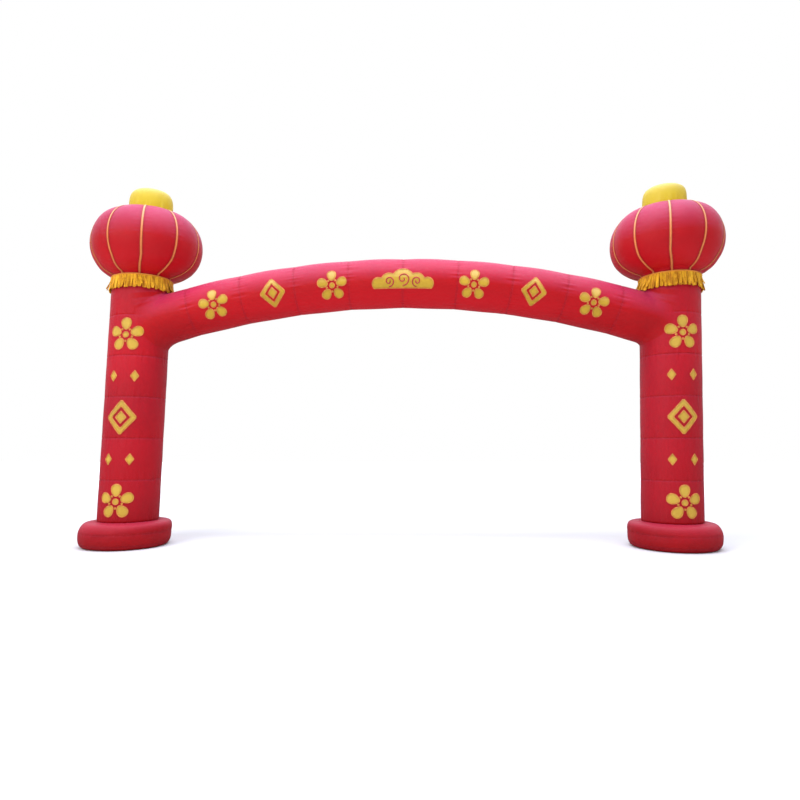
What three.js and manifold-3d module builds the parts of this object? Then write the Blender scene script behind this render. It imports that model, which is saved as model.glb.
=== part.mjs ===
// A blown-up lantern archway, in millimetres: +Z up, the span along X, the front towards -Y.
//
// Two round columns stand on pillow bases and carry a gently arched tube between them. Each column
// wears a fringed collar and carries an oblate lantern balloon with taped seams and a pillow cap.
// All of it is cloth held round by air, so every solid has the full round form of its blown piece.
// The arch stands a little askew, as such arches do: each piece is built upright and then leaned.

import * as THREE from 'three';
import { mergeVertices } from 'three/addons/utils/BufferGeometryUtils.js';
import Module from 'manifold-3d';

const wasm = await Module();
wasm.setup();

// ---------------------------------------------------------------- driving dimensions

const SPAN = 10000; // over the outsides of the two columns, at the ground
const GAP = 0.3; // between pieces that are sewn or pressed together
const LEAN = 0.025; // sideways travel of the whole arch for each unit of height

const COLUMN_RADIUS = 479;
const COLUMN_TOP = 4490;
const COLUMN_PANELS = 6; // bands of cloth, one above the other
const COLUMN_SEAM_DEPTH = 4;

const BASE_RADIUS = 722;
const BASE_SEAT = 415; // height of the flat that carries the column
const BASE_CROWN = 4; // rise of the pillow's top above that flat
const BASE_EDGE = { across: 121, down: 203 }; // half axes of its rounded edge
const BASE_DRIFT = 29; // outwards, of the pillow's ground from under its column
const BASE_MARGIN = 6; // of that flat, around the column

const BEAM_WAIST = 409; // radius at a ring seam
const BEAM_BULGE = 11; // swell between two ring seams
const BEAM_CENTRE = 4423; // height of the axis at mid-span
const BEAM_RISE = 763; // of the axis, from the column's axis to mid-span
const BEAM_PANEL = 905; // along the axis, between ring seams
const BEAM_PANELS_EACH_WAY = 4; // whole panels on each side of mid-span
const BEAM_GUSSET = { // under the beam's ends, along it from the column and down from the tube
  left: { reach: 220, drop: 60 },
  right: { reach: 90, drop: 12 },
};

const LANTERN_RADIUS = 888; // at the taped seams
const LANTERN_LOBE = 20; // swell of a gore between two seams
const LANTERN_CENTRE = 5101;
const LANTERN_HALF_HEIGHT = 593;
const LANTERN_ROUNDNESS = 0.568; // 1 would be an ellipse, and less is boxier
const LANTERN_FROM = -1.2; // the meridian's first and last angle, in radians
const LANTERN_TO = 1.32;
const LANTERN_NOD = { shift: 54, over: 280 }; // inwards, and the height of neck that it takes
const GORES = 10;

const TAPE_WIDTH = 38;
const TAPE_THICKNESS = 4;
const TAPE_MARGIN = 0.6; // of the seam's flat, on each side of the tape
const BARE_NECK = 0.2; // share of the lantern's neck under the tapes' ends

const CAP_RADIUS = 355;
const CAP_HEIGHT = 395;
const CAP_SHIFT = 20; // inwards, from the middle of the lantern's crown
const CAP_FOOT = 0.965; // radius of the cap's sewn foot, as a share of its own
const CAP_SQUARENESS = 0.45; // 1 would be an ellipse, and less is boxier
const PIPING = { height: 22, thickness: 10 };

const COLLAR = { low: 4436, high: 4488, thickness: 18 };
const LOCKS = 60; // strands of each fringe
const LOCK_WIDTH = 29;
const LOCK_THICKNESS = 9;
const LOCK_ROOT = 12; // depth of its root in the collar
const LOCK_LENGTH = 166;
const LOCK_FLARE = 58; // outwards, at its tip
const LOCK_SWAY = 7; // sideways, at its tip
const LOCK_CURL = 1.6; // 1 would be a straight lock, and more turns out towards the tip
const LOCK_UNEVEN = { flare: 0.45, length: 0.09 }; // as shares of the flare and the length
const LOCK_CLEARANCE = 7; // of a tip above the beam

// ---------------------------------------------------------------- what follows from them

const AXIS_X = SPAN / 2 - COLUMN_RADIUS; // of a column, from mid-span
const ARC_RADIUS = (AXIS_X ** 2 + BEAM_RISE ** 2) / (2 * BEAM_RISE);
const CROWN_HEIGHT = LANTERN_CENTRE + LANTERN_HALF_HEIGHT * Math.sin(LANTERN_TO); // under the cap
const SECTORS = { base: 32, column: 32, beam: 28, cap: 30 };

/** A repeatable number from -1 to 1 for strand `i`, another for each `kind`. */
function varied(i, kind) {
  const turn = Math.sin(i * 12.9898 + kind * 78.233) * 43758.5453;
  return 2 * (turn - Math.floor(turn)) - 1;
}

// ---------------------------------------------------------------- making solids

/** The geometry with its shared corners joined and its empty faces dropped. */
function welded(geometry) {
  geometry.deleteAttribute('normal');
  geometry.deleteAttribute('uv');
  const joined = mergeVertices(geometry, 1e-3);
  const index = Array.from(joined.index.array);
  const kept = [];
  for (let i = 0; i < index.length; i += 3) {
    const corners = index.slice(i, i + 3);
    if (new Set(corners).size === 3) kept.push(...corners);
  }
  joined.setIndex(kept);
  return joined;
}

/** A solid of revolution about Z. The profile [radius, height] runs from the lower axis to the upper. */
function turned(profile, sectors) {
  const points = profile.map(([radius, height]) => new THREE.Vector2(radius, height));
  return welded(new THREE.LatheGeometry(points, sectors).rotateX(Math.PI / 2));
}

/** A closed skin over rings of equally many points, each right-handed about the way they follow. */
function skinned(rings) {
  const count = rings[0].length;
  const points = rings.flat();
  const faces = [];
  for (let ring = 0; ring < rings.length - 1; ring += 1) {
    for (let i = 0; i < count; i += 1) {
      const a = ring * count + i;
      const b = ring * count + (i + 1) % count;
      faces.push(a, b, b + count, a, b + count, a + count);
    }
  }
  const first = points.length;
  const last = first + 1;
  const lastRing = first - count;
  points.push(middle(rings[0]), middle(rings[rings.length - 1]));
  for (let i = 0; i < count; i += 1) {
    const next = (i + 1) % count;
    faces.push(first, next, i, last, lastRing + i, lastRing + next);
  }
  const geometry = new THREE.BufferGeometry().setFromPoints(points);
  geometry.setIndex(faces);
  return geometry;
}

function middle(ring) {
  const sum = ring.reduce((total, point) => total.add(point), new THREE.Vector3());
  return sum.divideScalar(ring.length);
}

function toManifold(geometry) {
  return new wasm.Manifold(new wasm.Mesh({
    numProp: 3,
    vertProperties: new Float32Array(geometry.getAttribute('position').array),
    triVerts: new Uint32Array(geometry.index.array),
  }));
}

function fromManifold(solid) {
  const mesh = solid.getMesh();
  const geometry = new THREE.BufferGeometry();
  geometry.setAttribute('position', new THREE.BufferAttribute(mesh.vertProperties, 3));
  geometry.setIndex(Array.from(mesh.triVerts));
  return welded(geometry);
}

/** The point at `radius` and `azimuth` about Z, which turns from the front towards +X. */
function around(radius, azimuth, z) {
  return new THREE.Vector3(radius * Math.sin(azimuth), -radius * Math.cos(azimuth), z);
}

/** Moves each point sideways by a distance that follows from its height. */
function swayed(geometry, distanceAt) {
  const at = geometry.getAttribute('position');
  for (let i = 0; i < at.count; i += 1) {
    at.setX(i, at.getX(i) + distanceAt(at.getZ(i)));
  }
  return geometry;
}

/** A soft drift sideways, from nothing at height `still` to the whole distance at height `full`. */
const drifted = (geometry, distance, still, full) =>
  swayed(geometry, (z) => distance * THREE.MathUtils.smoothstep((z - still) / (full - still), 0, 1));

// ---------------------------------------------------------------- finishes

const cloth = (color, roughness) => new THREE.MeshStandardMaterial({ color, roughness, metalness: 0 });

const FINISH = {
  towerCloth: cloth(0xb0263b, 0.62),
  lanternCloth: cloth(0xc02536, 0.5),
  capCloth: cloth(0xedcc2f, 0.55),
  seamTape: cloth(0xeb9a57, 0.6),
  fringeYarn: cloth(0xd99a2e, 0.7),
};

const arch = new THREE.Group();

/** Adds one sewn piece to the arch, leaned with the rest of it. */
function add(name, geometry, material) {
  const leaned = swayed(geometry, (z) => LEAN * z);
  leaned.computeVertexNormals();
  const mesh = new THREE.Mesh(leaned, material);
  mesh.name = name;
  arch.add(mesh);
}

// ---------------------------------------------------------------- base and column

/** A round pillow: flat underneath, flat where the column stands, with full round edges. */
function baseSolid() {
  const steps = 7;
  const profile = [[0, 0]];
  for (let i = 0; i <= steps; i += 1) {
    const angle = Math.PI * (i / steps - 0.5);
    const radius = BASE_RADIUS + BASE_EDGE.across * (Math.cos(angle) - 1);
    profile.push([radius, BASE_EDGE.down * (1 + Math.sin(angle))]);
  }
  const seatRadius = COLUMN_RADIUS + BASE_MARGIN;
  const crownRadius = (seatRadius + BASE_RADIUS - BASE_EDGE.across) / 2;
  profile.push([crownRadius, BASE_SEAT + BASE_CROWN], [seatRadius, BASE_SEAT], [0, BASE_SEAT]);
  return turned(profile, SECTORS.base);
}

/** A column of stacked cloth bands, each a little fuller than the seams between them. */
function columnSolid(extra = 0) {
  const foot = BASE_SEAT + GAP;
  const bands = 2 * COLUMN_PANELS;
  const profile = [[0, foot]];
  for (let i = 0; i <= bands; i += 1) {
    const z = foot + (COLUMN_TOP - foot) * i / bands;
    const seam = i % 2 === 0 && i > 0 && i < bands;
    profile.push([COLUMN_RADIUS + extra - (seam ? COLUMN_SEAM_DEPTH : 0), z]);
  }
  profile.push([0, COLUMN_TOP]);
  return turned(profile, SECTORS.column);
}

// ---------------------------------------------------------------- beam

/** The axis of the beam at `turn` radians from mid-span, with its direction and its upward normal. */
function beamFrame(turn) {
  return {
    centre: new THREE.Vector3(
      ARC_RADIUS * Math.sin(turn), 0, BEAM_CENTRE - ARC_RADIUS * (1 - Math.cos(turn))),
    up: new THREE.Vector3(Math.sin(turn), 0, Math.cos(turn)),
  };
}

const beamRadius = (along) => BEAM_WAIST + BEAM_BULGE * Math.abs(Math.sin(Math.PI * along / BEAM_PANEL));

/** How far the gusset under the beam's end stands out from the tube, at a point of its skin. */
function gussetDrop(point, underside) {
  const gusset = point.x < 0 ? BEAM_GUSSET.left : BEAM_GUSSET.right;
  const wall = Math.sqrt(Math.max(0, COLUMN_RADIUS ** 2 - point.y ** 2));
  const clear = Math.max(0, AXIS_X - Math.abs(point.x) - wall);
  return gusset.drop * underside * Math.max(0, 1 - clear / gusset.reach) ** 2;
}

/** One ring of the beam's skin, `along` millimetres from mid-span on the axis. */
function beamRing(along) {
  const { centre, up } = beamFrame(along / ARC_RADIUS);
  const front = new THREE.Vector3(0, -1, 0);
  const ring = [];
  for (let i = 0; i < SECTORS.beam; i += 1) {
    const angle = 2 * Math.PI * i / SECTORS.beam;
    const outward = up.clone().multiplyScalar(Math.cos(angle)).addScaledVector(front, Math.sin(angle));
    const point = centre.clone().addScaledVector(outward, beamRadius(along));
    const underside = ((1 - Math.cos(angle)) / 2) ** 2;
    ring.push(point.addScaledVector(outward, gussetDrop(point, underside)));
  }
  return ring;
}

/** The arched tube, its ends cut to the round of the columns. */
function beamSolid() {
  const ringsPerPanel = 3;
  const endRings = 8;
  const lastSeam = BEAM_PANEL * BEAM_PANELS_EACH_WAY;
  const end = ARC_RADIUS * Math.asin(AXIS_X / ARC_RADIUS);
  const half = [];
  for (let i = 1; i <= BEAM_PANELS_EACH_WAY * ringsPerPanel; i += 1) {
    half.push(BEAM_PANEL * i / ringsPerPanel);
  }
  for (let i = 1; i <= endRings; i += 1) {
    half.push(lastSeam + (end - lastSeam) * i / endRings);
  }
  const stations = [...half.map((along) => -along).reverse(), 0, ...half];
  let solid = toManifold(skinned(stations.map(beamRing)));
  for (const side of [-1, 1]) {
    solid = solid.subtract(toManifold(columnSolid(GAP).translate(side * AXIS_X, 0, 0)));
  }
  return fromManifold(solid);
}

/** Height of the beam's upper skin over the point (x, y), or nothing where it isn't under it. */
function beamTop(x, y) {
  const radius = BEAM_WAIST + BEAM_BULGE;
  if (Math.abs(y) >= radius || Math.abs(x) >= AXIS_X) return -Infinity;
  const turn = Math.asin(x / ARC_RADIUS);
  return beamFrame(turn).centre.z + Math.sqrt(radius ** 2 - y ** 2) / Math.cos(turn);
}

// ---------------------------------------------------------------- lantern

/** The lantern's meridian at its seams, as [radius, height] from its foot to its crown. */
function lanternMeridian() {
  const steps = 10;
  const belly = [];
  for (let i = 0; i <= steps; i += 1) {
    const angle = LANTERN_FROM + (LANTERN_TO - LANTERN_FROM) * i / steps;
    const radius = LANTERN_RADIUS * Math.cos(angle) ** LANTERN_ROUNDNESS;
    belly.push([radius, LANTERN_CENTRE + LANTERN_HALF_HEIGHT * Math.sin(angle)]);
  }
  const foot = [COLUMN_RADIUS - LANTERN_LOBE, COLUMN_TOP + GAP];
  const tapeEnd = foot.map((value, i) => THREE.MathUtils.lerp(value, belly[0][i], BARE_NECK));
  return [foot, tapeEnd, ...belly];
}

const seamAzimuth = (gore) => 2 * Math.PI * (gore + 0.5) / GORES;

/** A ring of the lantern: a flat as wide as the tape at each seam, and a swelling gore after it. */
function lanternRing([radius, z]) {
  const goreSteps = 4;
  const flat = Math.asin((TAPE_WIDTH / 2 + TAPE_MARGIN) / radius);
  const swell = LANTERN_LOBE * radius / LANTERN_RADIUS;
  const ring = [];
  for (let gore = 0; gore < GORES; gore += 1) {
    const from = seamAzimuth(gore) + flat;
    const width = 2 * Math.PI / GORES - 2 * flat;
    for (let i = 0; i <= goreSteps; i += 1) {
      const share = i / goreSteps;
      ring.push(around(radius + swell * Math.sin(Math.PI * share), from + width * share, z));
    }
  }
  return ring;
}

const lanternSolid = () => skinned(lanternMeridian().map(lanternRing));

/** The meridian moved outwards by `distance`, with each of its corners mitred. */
function offsetMeridian(meridian, distance) {
  const points = meridian.map(([radius, z]) => {
    const half = TAPE_WIDTH / 2 + TAPE_MARGIN;
    return new THREE.Vector2(Math.sqrt(radius ** 2 - half ** 2), z);
  });
  const normal = (a, b) => new THREE.Vector2(b.y - a.y, a.x - b.x).normalize();
  return points.map((point, i) => {
    const before = normal(points[Math.max(0, i - 1)], points[Math.max(1, i)]);
    const after = normal(points[Math.min(i, points.length - 2)], points[Math.min(i + 1, points.length - 1)]);
    const mitre = before.clone().add(after).divideScalar(1 + before.dot(after));
    return point.clone().addScaledVector(mitre, distance);
  });
}

/** The tape that covers one seam of the lantern, from its crown to low on its neck. */
function tapeSolid(azimuth) {
  const meridian = lanternMeridian().slice(1);
  const inner = offsetMeridian(meridian, GAP);
  const outer = offsetMeridian(meridian, GAP + TAPE_THICKNESS);
  const outline = new THREE.Shape([...inner, ...outer.reverse()]);
  const band = new THREE.ExtrudeGeometry(outline, { depth: TAPE_WIDTH, bevelEnabled: false });
  band.translate(0, 0, -TAPE_WIDTH / 2).rotateX(Math.PI / 2).rotateZ(azimuth - Math.PI / 2);
  return welded(band);
}

// ---------------------------------------------------------------- cap

/** A round pillow with upright sides, a rounded shoulder and a drawn-in foot. */
function capSolid() {
  const foot = CROWN_HEIGHT + GAP;
  const steps = 6;
  const profile = [[0, foot], [CAP_FOOT * CAP_RADIUS, foot], [CAP_RADIUS, foot + PIPING.height]];
  for (let i = 1; i < steps; i += 1) {
    const angle = Math.PI / 2 * (i / steps);
    const radius = CAP_RADIUS * Math.cos(angle) ** CAP_SQUARENESS;
    const height = CAP_HEIGHT * Math.sin(angle) ** CAP_SQUARENESS;
    profile.push([radius, foot + height]);
  }
  profile.push([0, foot + CAP_HEIGHT]);
  return turned(profile, SECTORS.cap);
}

/** The piping round the cap's foot, which lies on the lantern's crown. */
function pipingSolid() {
  const low = CROWN_HEIGHT + GAP;
  const inside = (CAP_RADIUS + GAP) / Math.cos(Math.PI / SECTORS.cap);
  const outside = inside + PIPING.thickness;
  const profile = [
    [inside, low], [outside, low], [outside, low + PIPING.height], [inside, low + PIPING.height], [inside, low],
  ];
  return turned(profile, SECTORS.cap);
}

// ---------------------------------------------------------------- fringed collar

const collarInside = (COLUMN_RADIUS + GAP) / Math.cos(Math.PI / LOCKS);

/** The strap that holds the strands, sewn round the top of the column. */
function collarSolid() {
  const outside = collarInside + COLLAR.thickness;
  const profile = [
    [collarInside, COLLAR.low], [outside, COLLAR.low], [outside, COLLAR.high], [collarInside, COLLAR.high],
    [collarInside, COLLAR.low],
  ];
  return turned(profile, LOCKS);
}

/** One lock of the fringe, from its root in the collar to its tip, which never reaches the beam. */
function lockSolid(i, side) {
  const azimuth = 2 * Math.PI * i / LOCKS;
  const rootRadius = collarInside + COLLAR.thickness / 2;
  const rootZ = COLLAR.low + LOCK_ROOT;
  const flare = LOCK_FLARE * (1 + LOCK_UNEVEN.flare * varied(i, side));
  const sway = LOCK_SWAY * varied(i, side + 2);
  const length = LOCK_LENGTH * (1 - LOCK_UNEVEN.length * (1 - varied(i, side + 4)));
  const foot = around(rootRadius + flare, azimuth, 0);
  const floor = beamTop(foot.x + side * AXIS_X, foot.y) + LOCK_CLEARANCE;
  const tipZ = Math.max(rootZ - length, floor);
  const stations = [
    { share: 0, width: 1, thickness: 1 },
    { share: 0.55, width: 1.03, thickness: 1 },
    { share: 1, width: 0.74, thickness: 0.55 },
  ];
  return skinned(stations.map(({ share, width, thickness }) => {
    const centre = around(rootRadius + flare * share ** LOCK_CURL, azimuth, rootZ + (tipZ - rootZ) * share);
    const tangent = around(1, azimuth + Math.PI / 2, 0);
    const outward = around(1, azimuth, 0);
    centre.addScaledVector(tangent, sway * share);
    return [[1, 1], [-1, 1], [-1, -1], [1, -1]].map(([u, v]) => centre.clone()
      .addScaledVector(tangent, u * width * LOCK_WIDTH / 2)
      .addScaledVector(outward, v * thickness * LOCK_THICKNESS / 2));
  }));
}

function fringeSolid(side) {
  let solid = toManifold(collarSolid());
  for (let i = 0; i < LOCKS; i += 1) {
    solid = solid.add(toManifold(lockSolid(i, side)));
  }
  return fromManifold(solid);
}

// ---------------------------------------------------------------- the arch

add('beam', beamSolid(), FINISH.towerCloth);

for (const [place, side] of [['left', -1], ['right', 1]]) {
  const stand = (geometry) => geometry.translate(side * AXIS_X, 0, 0);
  const slump = (geometry) => stand(drifted(geometry, side * BASE_DRIFT, BASE_SEAT, BASE_EDGE.down));
  const nod = (geometry) => stand(
    drifted(geometry, -side * LANTERN_NOD.shift, COLUMN_TOP + GAP, COLUMN_TOP + LANTERN_NOD.over));
  const crown = (geometry) => nod(geometry.translate(-side * CAP_SHIFT, 0, 0));
  add(`base_${place}`, slump(baseSolid()), FINISH.towerCloth);
  add(`column_${place}`, stand(columnSolid()), FINISH.towerCloth);
  add(`fringe_${place}`, stand(fringeSolid(side)), FINISH.fringeYarn);
  add(`lantern_${place}`, nod(lanternSolid()), FINISH.lanternCloth);
  for (let gore = 0; gore < GORES; gore += 1) {
    add(`seam_tape_${place}_${gore + 1}`, nod(tapeSolid(seamAzimuth(gore))), FINISH.seamTape);
  }
  add(`cap_${place}`, crown(capSolid()), FINISH.capCloth);
  add(`cap_piping_${place}`, crown(pipingSolid()), FINISH.seamTape);
}

// The origin lies on the ground under the middle of the whole arch.
const box = new THREE.Box3().setFromObject(arch);
const centre = box.getCenter(new THREE.Vector3());
arch.position.set(-centre.x, -centre.y, -box.min.z);

export default arch;
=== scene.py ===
"""The looks of a blown-up lantern archway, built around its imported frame.

Everything is in metres: +Z up, the span along X, the front towards -Y. The arch stands a little
askew, so each piece is worked out upright and leaned as a whole before it becomes a mesh. Each
sewn body has a method that gives points on its cloth, and its skin, stitches and patches share it.
"""

from __future__ import annotations

import logging
import math
from dataclasses import dataclass, field, replace
from enum import Enum
from typing import Any, Callable, Sequence

import bmesh
import bpy
import numpy as np
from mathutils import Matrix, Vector
from mathutils.bvhtree import BVHTree

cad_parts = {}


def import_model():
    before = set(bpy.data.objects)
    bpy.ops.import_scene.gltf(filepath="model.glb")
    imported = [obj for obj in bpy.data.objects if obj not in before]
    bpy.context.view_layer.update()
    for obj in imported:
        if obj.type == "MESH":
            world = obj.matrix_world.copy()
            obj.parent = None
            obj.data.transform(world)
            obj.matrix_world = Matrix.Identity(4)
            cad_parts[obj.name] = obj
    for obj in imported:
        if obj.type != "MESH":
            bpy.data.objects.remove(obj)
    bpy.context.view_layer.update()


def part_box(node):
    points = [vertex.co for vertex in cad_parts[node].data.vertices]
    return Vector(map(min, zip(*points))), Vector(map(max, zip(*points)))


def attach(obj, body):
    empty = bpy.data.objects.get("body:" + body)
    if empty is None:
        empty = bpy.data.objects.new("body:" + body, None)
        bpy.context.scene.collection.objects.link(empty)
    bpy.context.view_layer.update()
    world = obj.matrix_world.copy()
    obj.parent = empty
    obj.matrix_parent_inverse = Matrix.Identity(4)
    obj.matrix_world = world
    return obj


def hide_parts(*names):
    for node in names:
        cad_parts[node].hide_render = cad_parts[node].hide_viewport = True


log = logging.getLogger("lantern_arch")

Numbers = float | np.ndarray
Outline = np.ndarray
ClothPoint = Callable[[np.ndarray, np.ndarray, float], np.ndarray]

BODY = "root"
LEAN = 0.025  # sideways travel of the whole arch for each metre of height
GAP = 0.0003  # between pieces that are sewn together
FULL_TURN = 2 * math.pi
NEARBY = 0.01  # a small step along a cloth, to find which way it runs
BESIDE_SEAM = (0.004, 0.009, 0.016, 0.026)  # extra rings on both sides of a row of stitches
CLOSEST = 0.002  # between two rings
SHARE, FIRST, SECOND, MIXED = 0, 6, 7, 2  # sockets of a Mix node that mixes colours


class Side(Enum):
    """The two ends of the arch."""

    LEFT = -1
    RIGHT = 1

    @property
    def word(self) -> str:
        """The side as it stands in the names of pieces."""
        return self.name.lower()


# The beam's cloth runs on under each end: along the tube before the corner, and down the column after it.
GUSSETS = {Side.LEFT: (0.24, 0.115), Side.RIGHT: (0.11, 0.04)}
COLLARS = {Side.LEFT: (4.503, 4.268), Side.RIGHT: (4.492, 4.243)}  # heights of the tape's top and the tips


# ------------------ numbers


def smoothstep(share: Numbers) -> Numbers:
    """A soft rise from 0 to 1 as share goes from 0 to 1."""
    held = np.clip(share, 0.0, 1.0)
    return held * held * (3 - 2 * held)


def ripple(turn: np.ndarray, count: float, seed: int) -> np.ndarray:
    """A smooth, uneven wave that closes on itself after a full turn.

    Args:
        turn: the angle along the wave, in radians.
        count: about how many crests a full turn has.
        seed: which wave it is.

    Returns:
        Heights from about -1 to 1.
    """
    rng = np.random.default_rng(seed)
    height = np.zeros(np.shape(turn))
    for share in (0.55, 0.8, 1.0, 1.3, 1.7):
        height = height + np.sin(round(share * count) * turn + rng.uniform(0, FULL_TURN))
    return height / 3


def stations(low: float, high: float, step: float, seams: Sequence[float] = ()) -> np.ndarray:
    """Even places from low to high, with closer ones beside each seam.

    Args:
        low: the first place.
        high: the last place.
        step: about how far apart the even places are.
        seams: where rows of stitches run.

    Returns:
        The places in order, none of them too close to the next.
    """
    places = list(np.linspace(low, high, round((high - low) / step) + 1))
    for seam in seams:
        places += [seam + sign * away for away in (0.0, *BESIDE_SEAM) for sign in (-1, 1)]
    ordered = sorted(place for place in places if low <= place <= high)
    kept = [ordered[0]]
    for place in ordered[1:]:
        if place - kept[-1] > CLOSEST:
            kept.append(place)
    kept[-1] = high
    return np.array(kept)


def unit(vectors: np.ndarray) -> np.ndarray:
    """Vectors, scaled to a length of 1."""
    return vectors / np.linalg.norm(vectors, axis=-1, keepdims=True)


def half_turned(angle: np.ndarray) -> np.ndarray:
    """Angles, brought to between minus and plus a half turn."""
    return (angle + math.pi) % FULL_TURN - math.pi


def round_axis(axis: Numbers, radius: Numbers, azimuth: Numbers, height: Numbers) -> np.ndarray:
    """Upright points round an upright axis.

    Args:
        axis: where the axis meets the ground, along X.
        radius: the distance from it.
        azimuth: the angle from the front towards +X, in radians.
        height: the height.

    Returns:
        The points, in the shape that the numbers have together and one more axis for xyz.
    """
    x, y = axis + radius * np.sin(azimuth), -radius * np.cos(azimuth)
    return np.stack(np.broadcast_arrays(x, y, height), axis=-1)


def leaned(points: np.ndarray) -> np.ndarray:
    """Moves upright points as the whole arch leans.

    Args:
        points: their places, in any shape that ends in xyz.

    Returns:
        The moved points.
    """
    moved = np.array(points, dtype=float)
    moved[..., 0] += LEAN * moved[..., 2]
    return moved


def upright_axis(node: str) -> tuple[float, float, float, float]:
    """What the frame says about a round node.

    Args:
        node: the node's name.

    Returns:
        Where its upright axis meets the ground, its radius, and its lowest and highest place.
    """
    low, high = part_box(node)
    axis = (low.x + high.x) / 2 - LEAN * (low.z + high.z) / 2
    return axis, (high.y - low.y) / 2, low.z, high.z


# ------------------ meshes


def linked(name: str, mesh: bpy.types.Mesh) -> bpy.types.Object:
    """Puts a mesh into the scene as an object of the same name.

    Args:
        name: the piece's name.
        mesh: its mesh.

    Returns:
        The object.
    """
    mesh.name = name
    piece = bpy.data.objects.new(name, mesh)
    bpy.context.scene.collection.objects.link(piece)
    return piece


def cloth_skin(name: str, rings: np.ndarray, girth: float, seam: np.ndarray) -> bpy.types.Object:
    """Closes a skin over rings of points, with a UV map in metres.

    Args:
        name: the piece's name.
        rings: upright points [ring, around, xyz], right-handed about the way that the rings follow.
        girth: the length round a middle ring.
        seam: how near each point is to a row of stitches, from 0 to 1, in the shape of the rings.

    Returns:
        The piece, with the attribute "seam" that its material reads.
    """
    count, around = rings.shape[:2]
    poles = rings[[0, -1]].mean(axis=1)
    points = leaned(np.concatenate([rings.reshape(-1, 3), poles]))
    row = np.arange(count - 1)[:, None] * around
    here = np.arange(around)[None, :]
    after = (here + 1) % around
    quads = np.stack([row + here, row + after, row + around + after, row + around + here], axis=-1)
    last_row = (count - 1) * around
    first_pole = count * around
    fans = [[first_pole, (i + 1) % around, i] for i in range(around)]
    fans += [[first_pole + 1, last_row + i, last_row + (i + 1) % around] for i in range(around)]
    mesh = bpy.data.meshes.new(name)
    mesh.from_pydata(points.tolist(), [], quads.reshape(-1, 4).tolist() + fans)
    step = np.linalg.norm(np.diff(rings, axis=0), axis=-1).mean(axis=1)
    along = np.concatenate([[0.0], np.cumsum(step)])
    across = girth * np.arange(around + 1) / around
    grid = np.stack(np.meshgrid(across, along), axis=-1)
    corners = np.stack([grid[:-1, :-1], grid[:-1, 1:], grid[1:, 1:], grid[1:, :-1]], axis=2)
    fan_uv = []
    for place, end, way in ((0, 0.0, -1), (count - 1, along[-1], 1)):
        for i in range(around):
            fan_uv += [np.array([across[i], end]), *grid[place, i : i + 2][::way]]
    layer = mesh.uv_layers.new(name="cloth")
    layer.data.foreach_set("uv", np.concatenate([corners.reshape(-1, 2), np.array(fan_uv)]).ravel())
    marks = mesh.attributes.new("seam", "FLOAT", "POINT")
    marks.data.foreach_set("value", np.append(seam.reshape(-1), [0.0, 0.0]))
    mesh.shade_smooth()
    return linked(name, mesh)


def path_lines(name: str, lines: Sequence[np.ndarray], closed: bool) -> bpy.types.Object:
    """Edges along each line, for a node tree to follow.

    Args:
        name: the name of the object.
        lines: leaned points [point, xyz] of each line.
        closed: whether each line runs back to its start.

    Returns:
        The object that holds the edges.
    """
    points, edges = [], []
    for line in lines:
        start = len(points)
        points += np.asarray(line).tolist()
        edges += [(start + i, start + i + 1) for i in range(len(line) - 1)]
        if closed:
            edges.append((len(points) - 1, start))
    mesh = bpy.data.meshes.new(name)
    mesh.from_pydata(points, edges, [])
    return linked(name, mesh)


def keep(piece: bpy.types.Object, slot: str, *nodes: str) -> None:
    """Gives a finished piece its body, hides the nodes that it stands for, and reports it.

    Args:
        piece: the piece.
        slot: not used.
        *nodes: the nodes that it stands for.
    """
    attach(piece, BODY)
    if nodes:
        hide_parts(*nodes)
    log.info("%s: %d faces", piece.name, len(piece.data.polygons))


def kept_skin(
    name: str,
    rings: np.ndarray,
    girth: float,
    seam: np.ndarray,
    look: bpy.types.Material,
    slot: str,
    node: str,
) -> bpy.types.Object:
    """Makes a finished piece from rings of points.

    Args:
        name: the piece's name.
        rings: as for cloth_skin.
        girth: the length round a middle ring.
        seam: how near each point is to a row of stitches, in any shape that the rings' own takes.
        look: its material.
        slot: the record's slot that it takes its finish from.
        node: the node that it stands for.

    Returns:
        The piece.
    """
    piece = cloth_skin(name, rings, girth, np.broadcast_to(seam, rings.shape[:2]))
    piece.data.materials.append(look)
    keep(piece, slot, node)
    return piece


# ------------------ node trees


def add_node(tree: bpy.types.NodeTree, kind: str, inputs: dict | None = None, **settings: Any) -> Any:
    """Adds a node with its settings and links.

    Args:
        tree: the tree that it joins.
        kind: the node's type.
        inputs: a value, or the socket to link, for each input by its name or index.
        settings: the node's own properties.

    Returns:
        The node.
    """
    node = tree.nodes.new(kind)
    for key, value in settings.items():
        setattr(node, key, value)
    for key, value in (inputs or {}).items():
        if isinstance(value, bpy.types.NodeSocket):
            tree.links.new(value, node.inputs[key])
        else:
            node.inputs[key].default_value = value
    return node


def linear(colour: str) -> tuple[float, float, float, float]:
    """Turns an sRGB hex colour into the linear one that shaders take.

    Args:
        colour: a hash and six hex digits.

    Returns:
        Red, green, blue and full opacity.
    """
    parts = [int(colour[i : i + 2], 16) / 255 for i in (1, 3, 5)]
    red, green, blue = (p / 12.92 if p <= 0.04045 else ((p + 0.055) / 1.055) ** 2.4 for p in parts)
    return red, green, blue, 1.0


def blank_material(name: str) -> tuple[bpy.types.Material, bpy.types.NodeTree, Any]:
    """Starts a material.

    Args:
        name: the material's name.

    Returns:
        The material, its empty tree and a texture coordinate node in it.
    """
    material = bpy.data.materials.new(name)
    material.use_nodes = True
    tree = material.node_tree
    tree.nodes.clear()
    return material, tree, add_node(tree, "ShaderNodeTexCoord")


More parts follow.
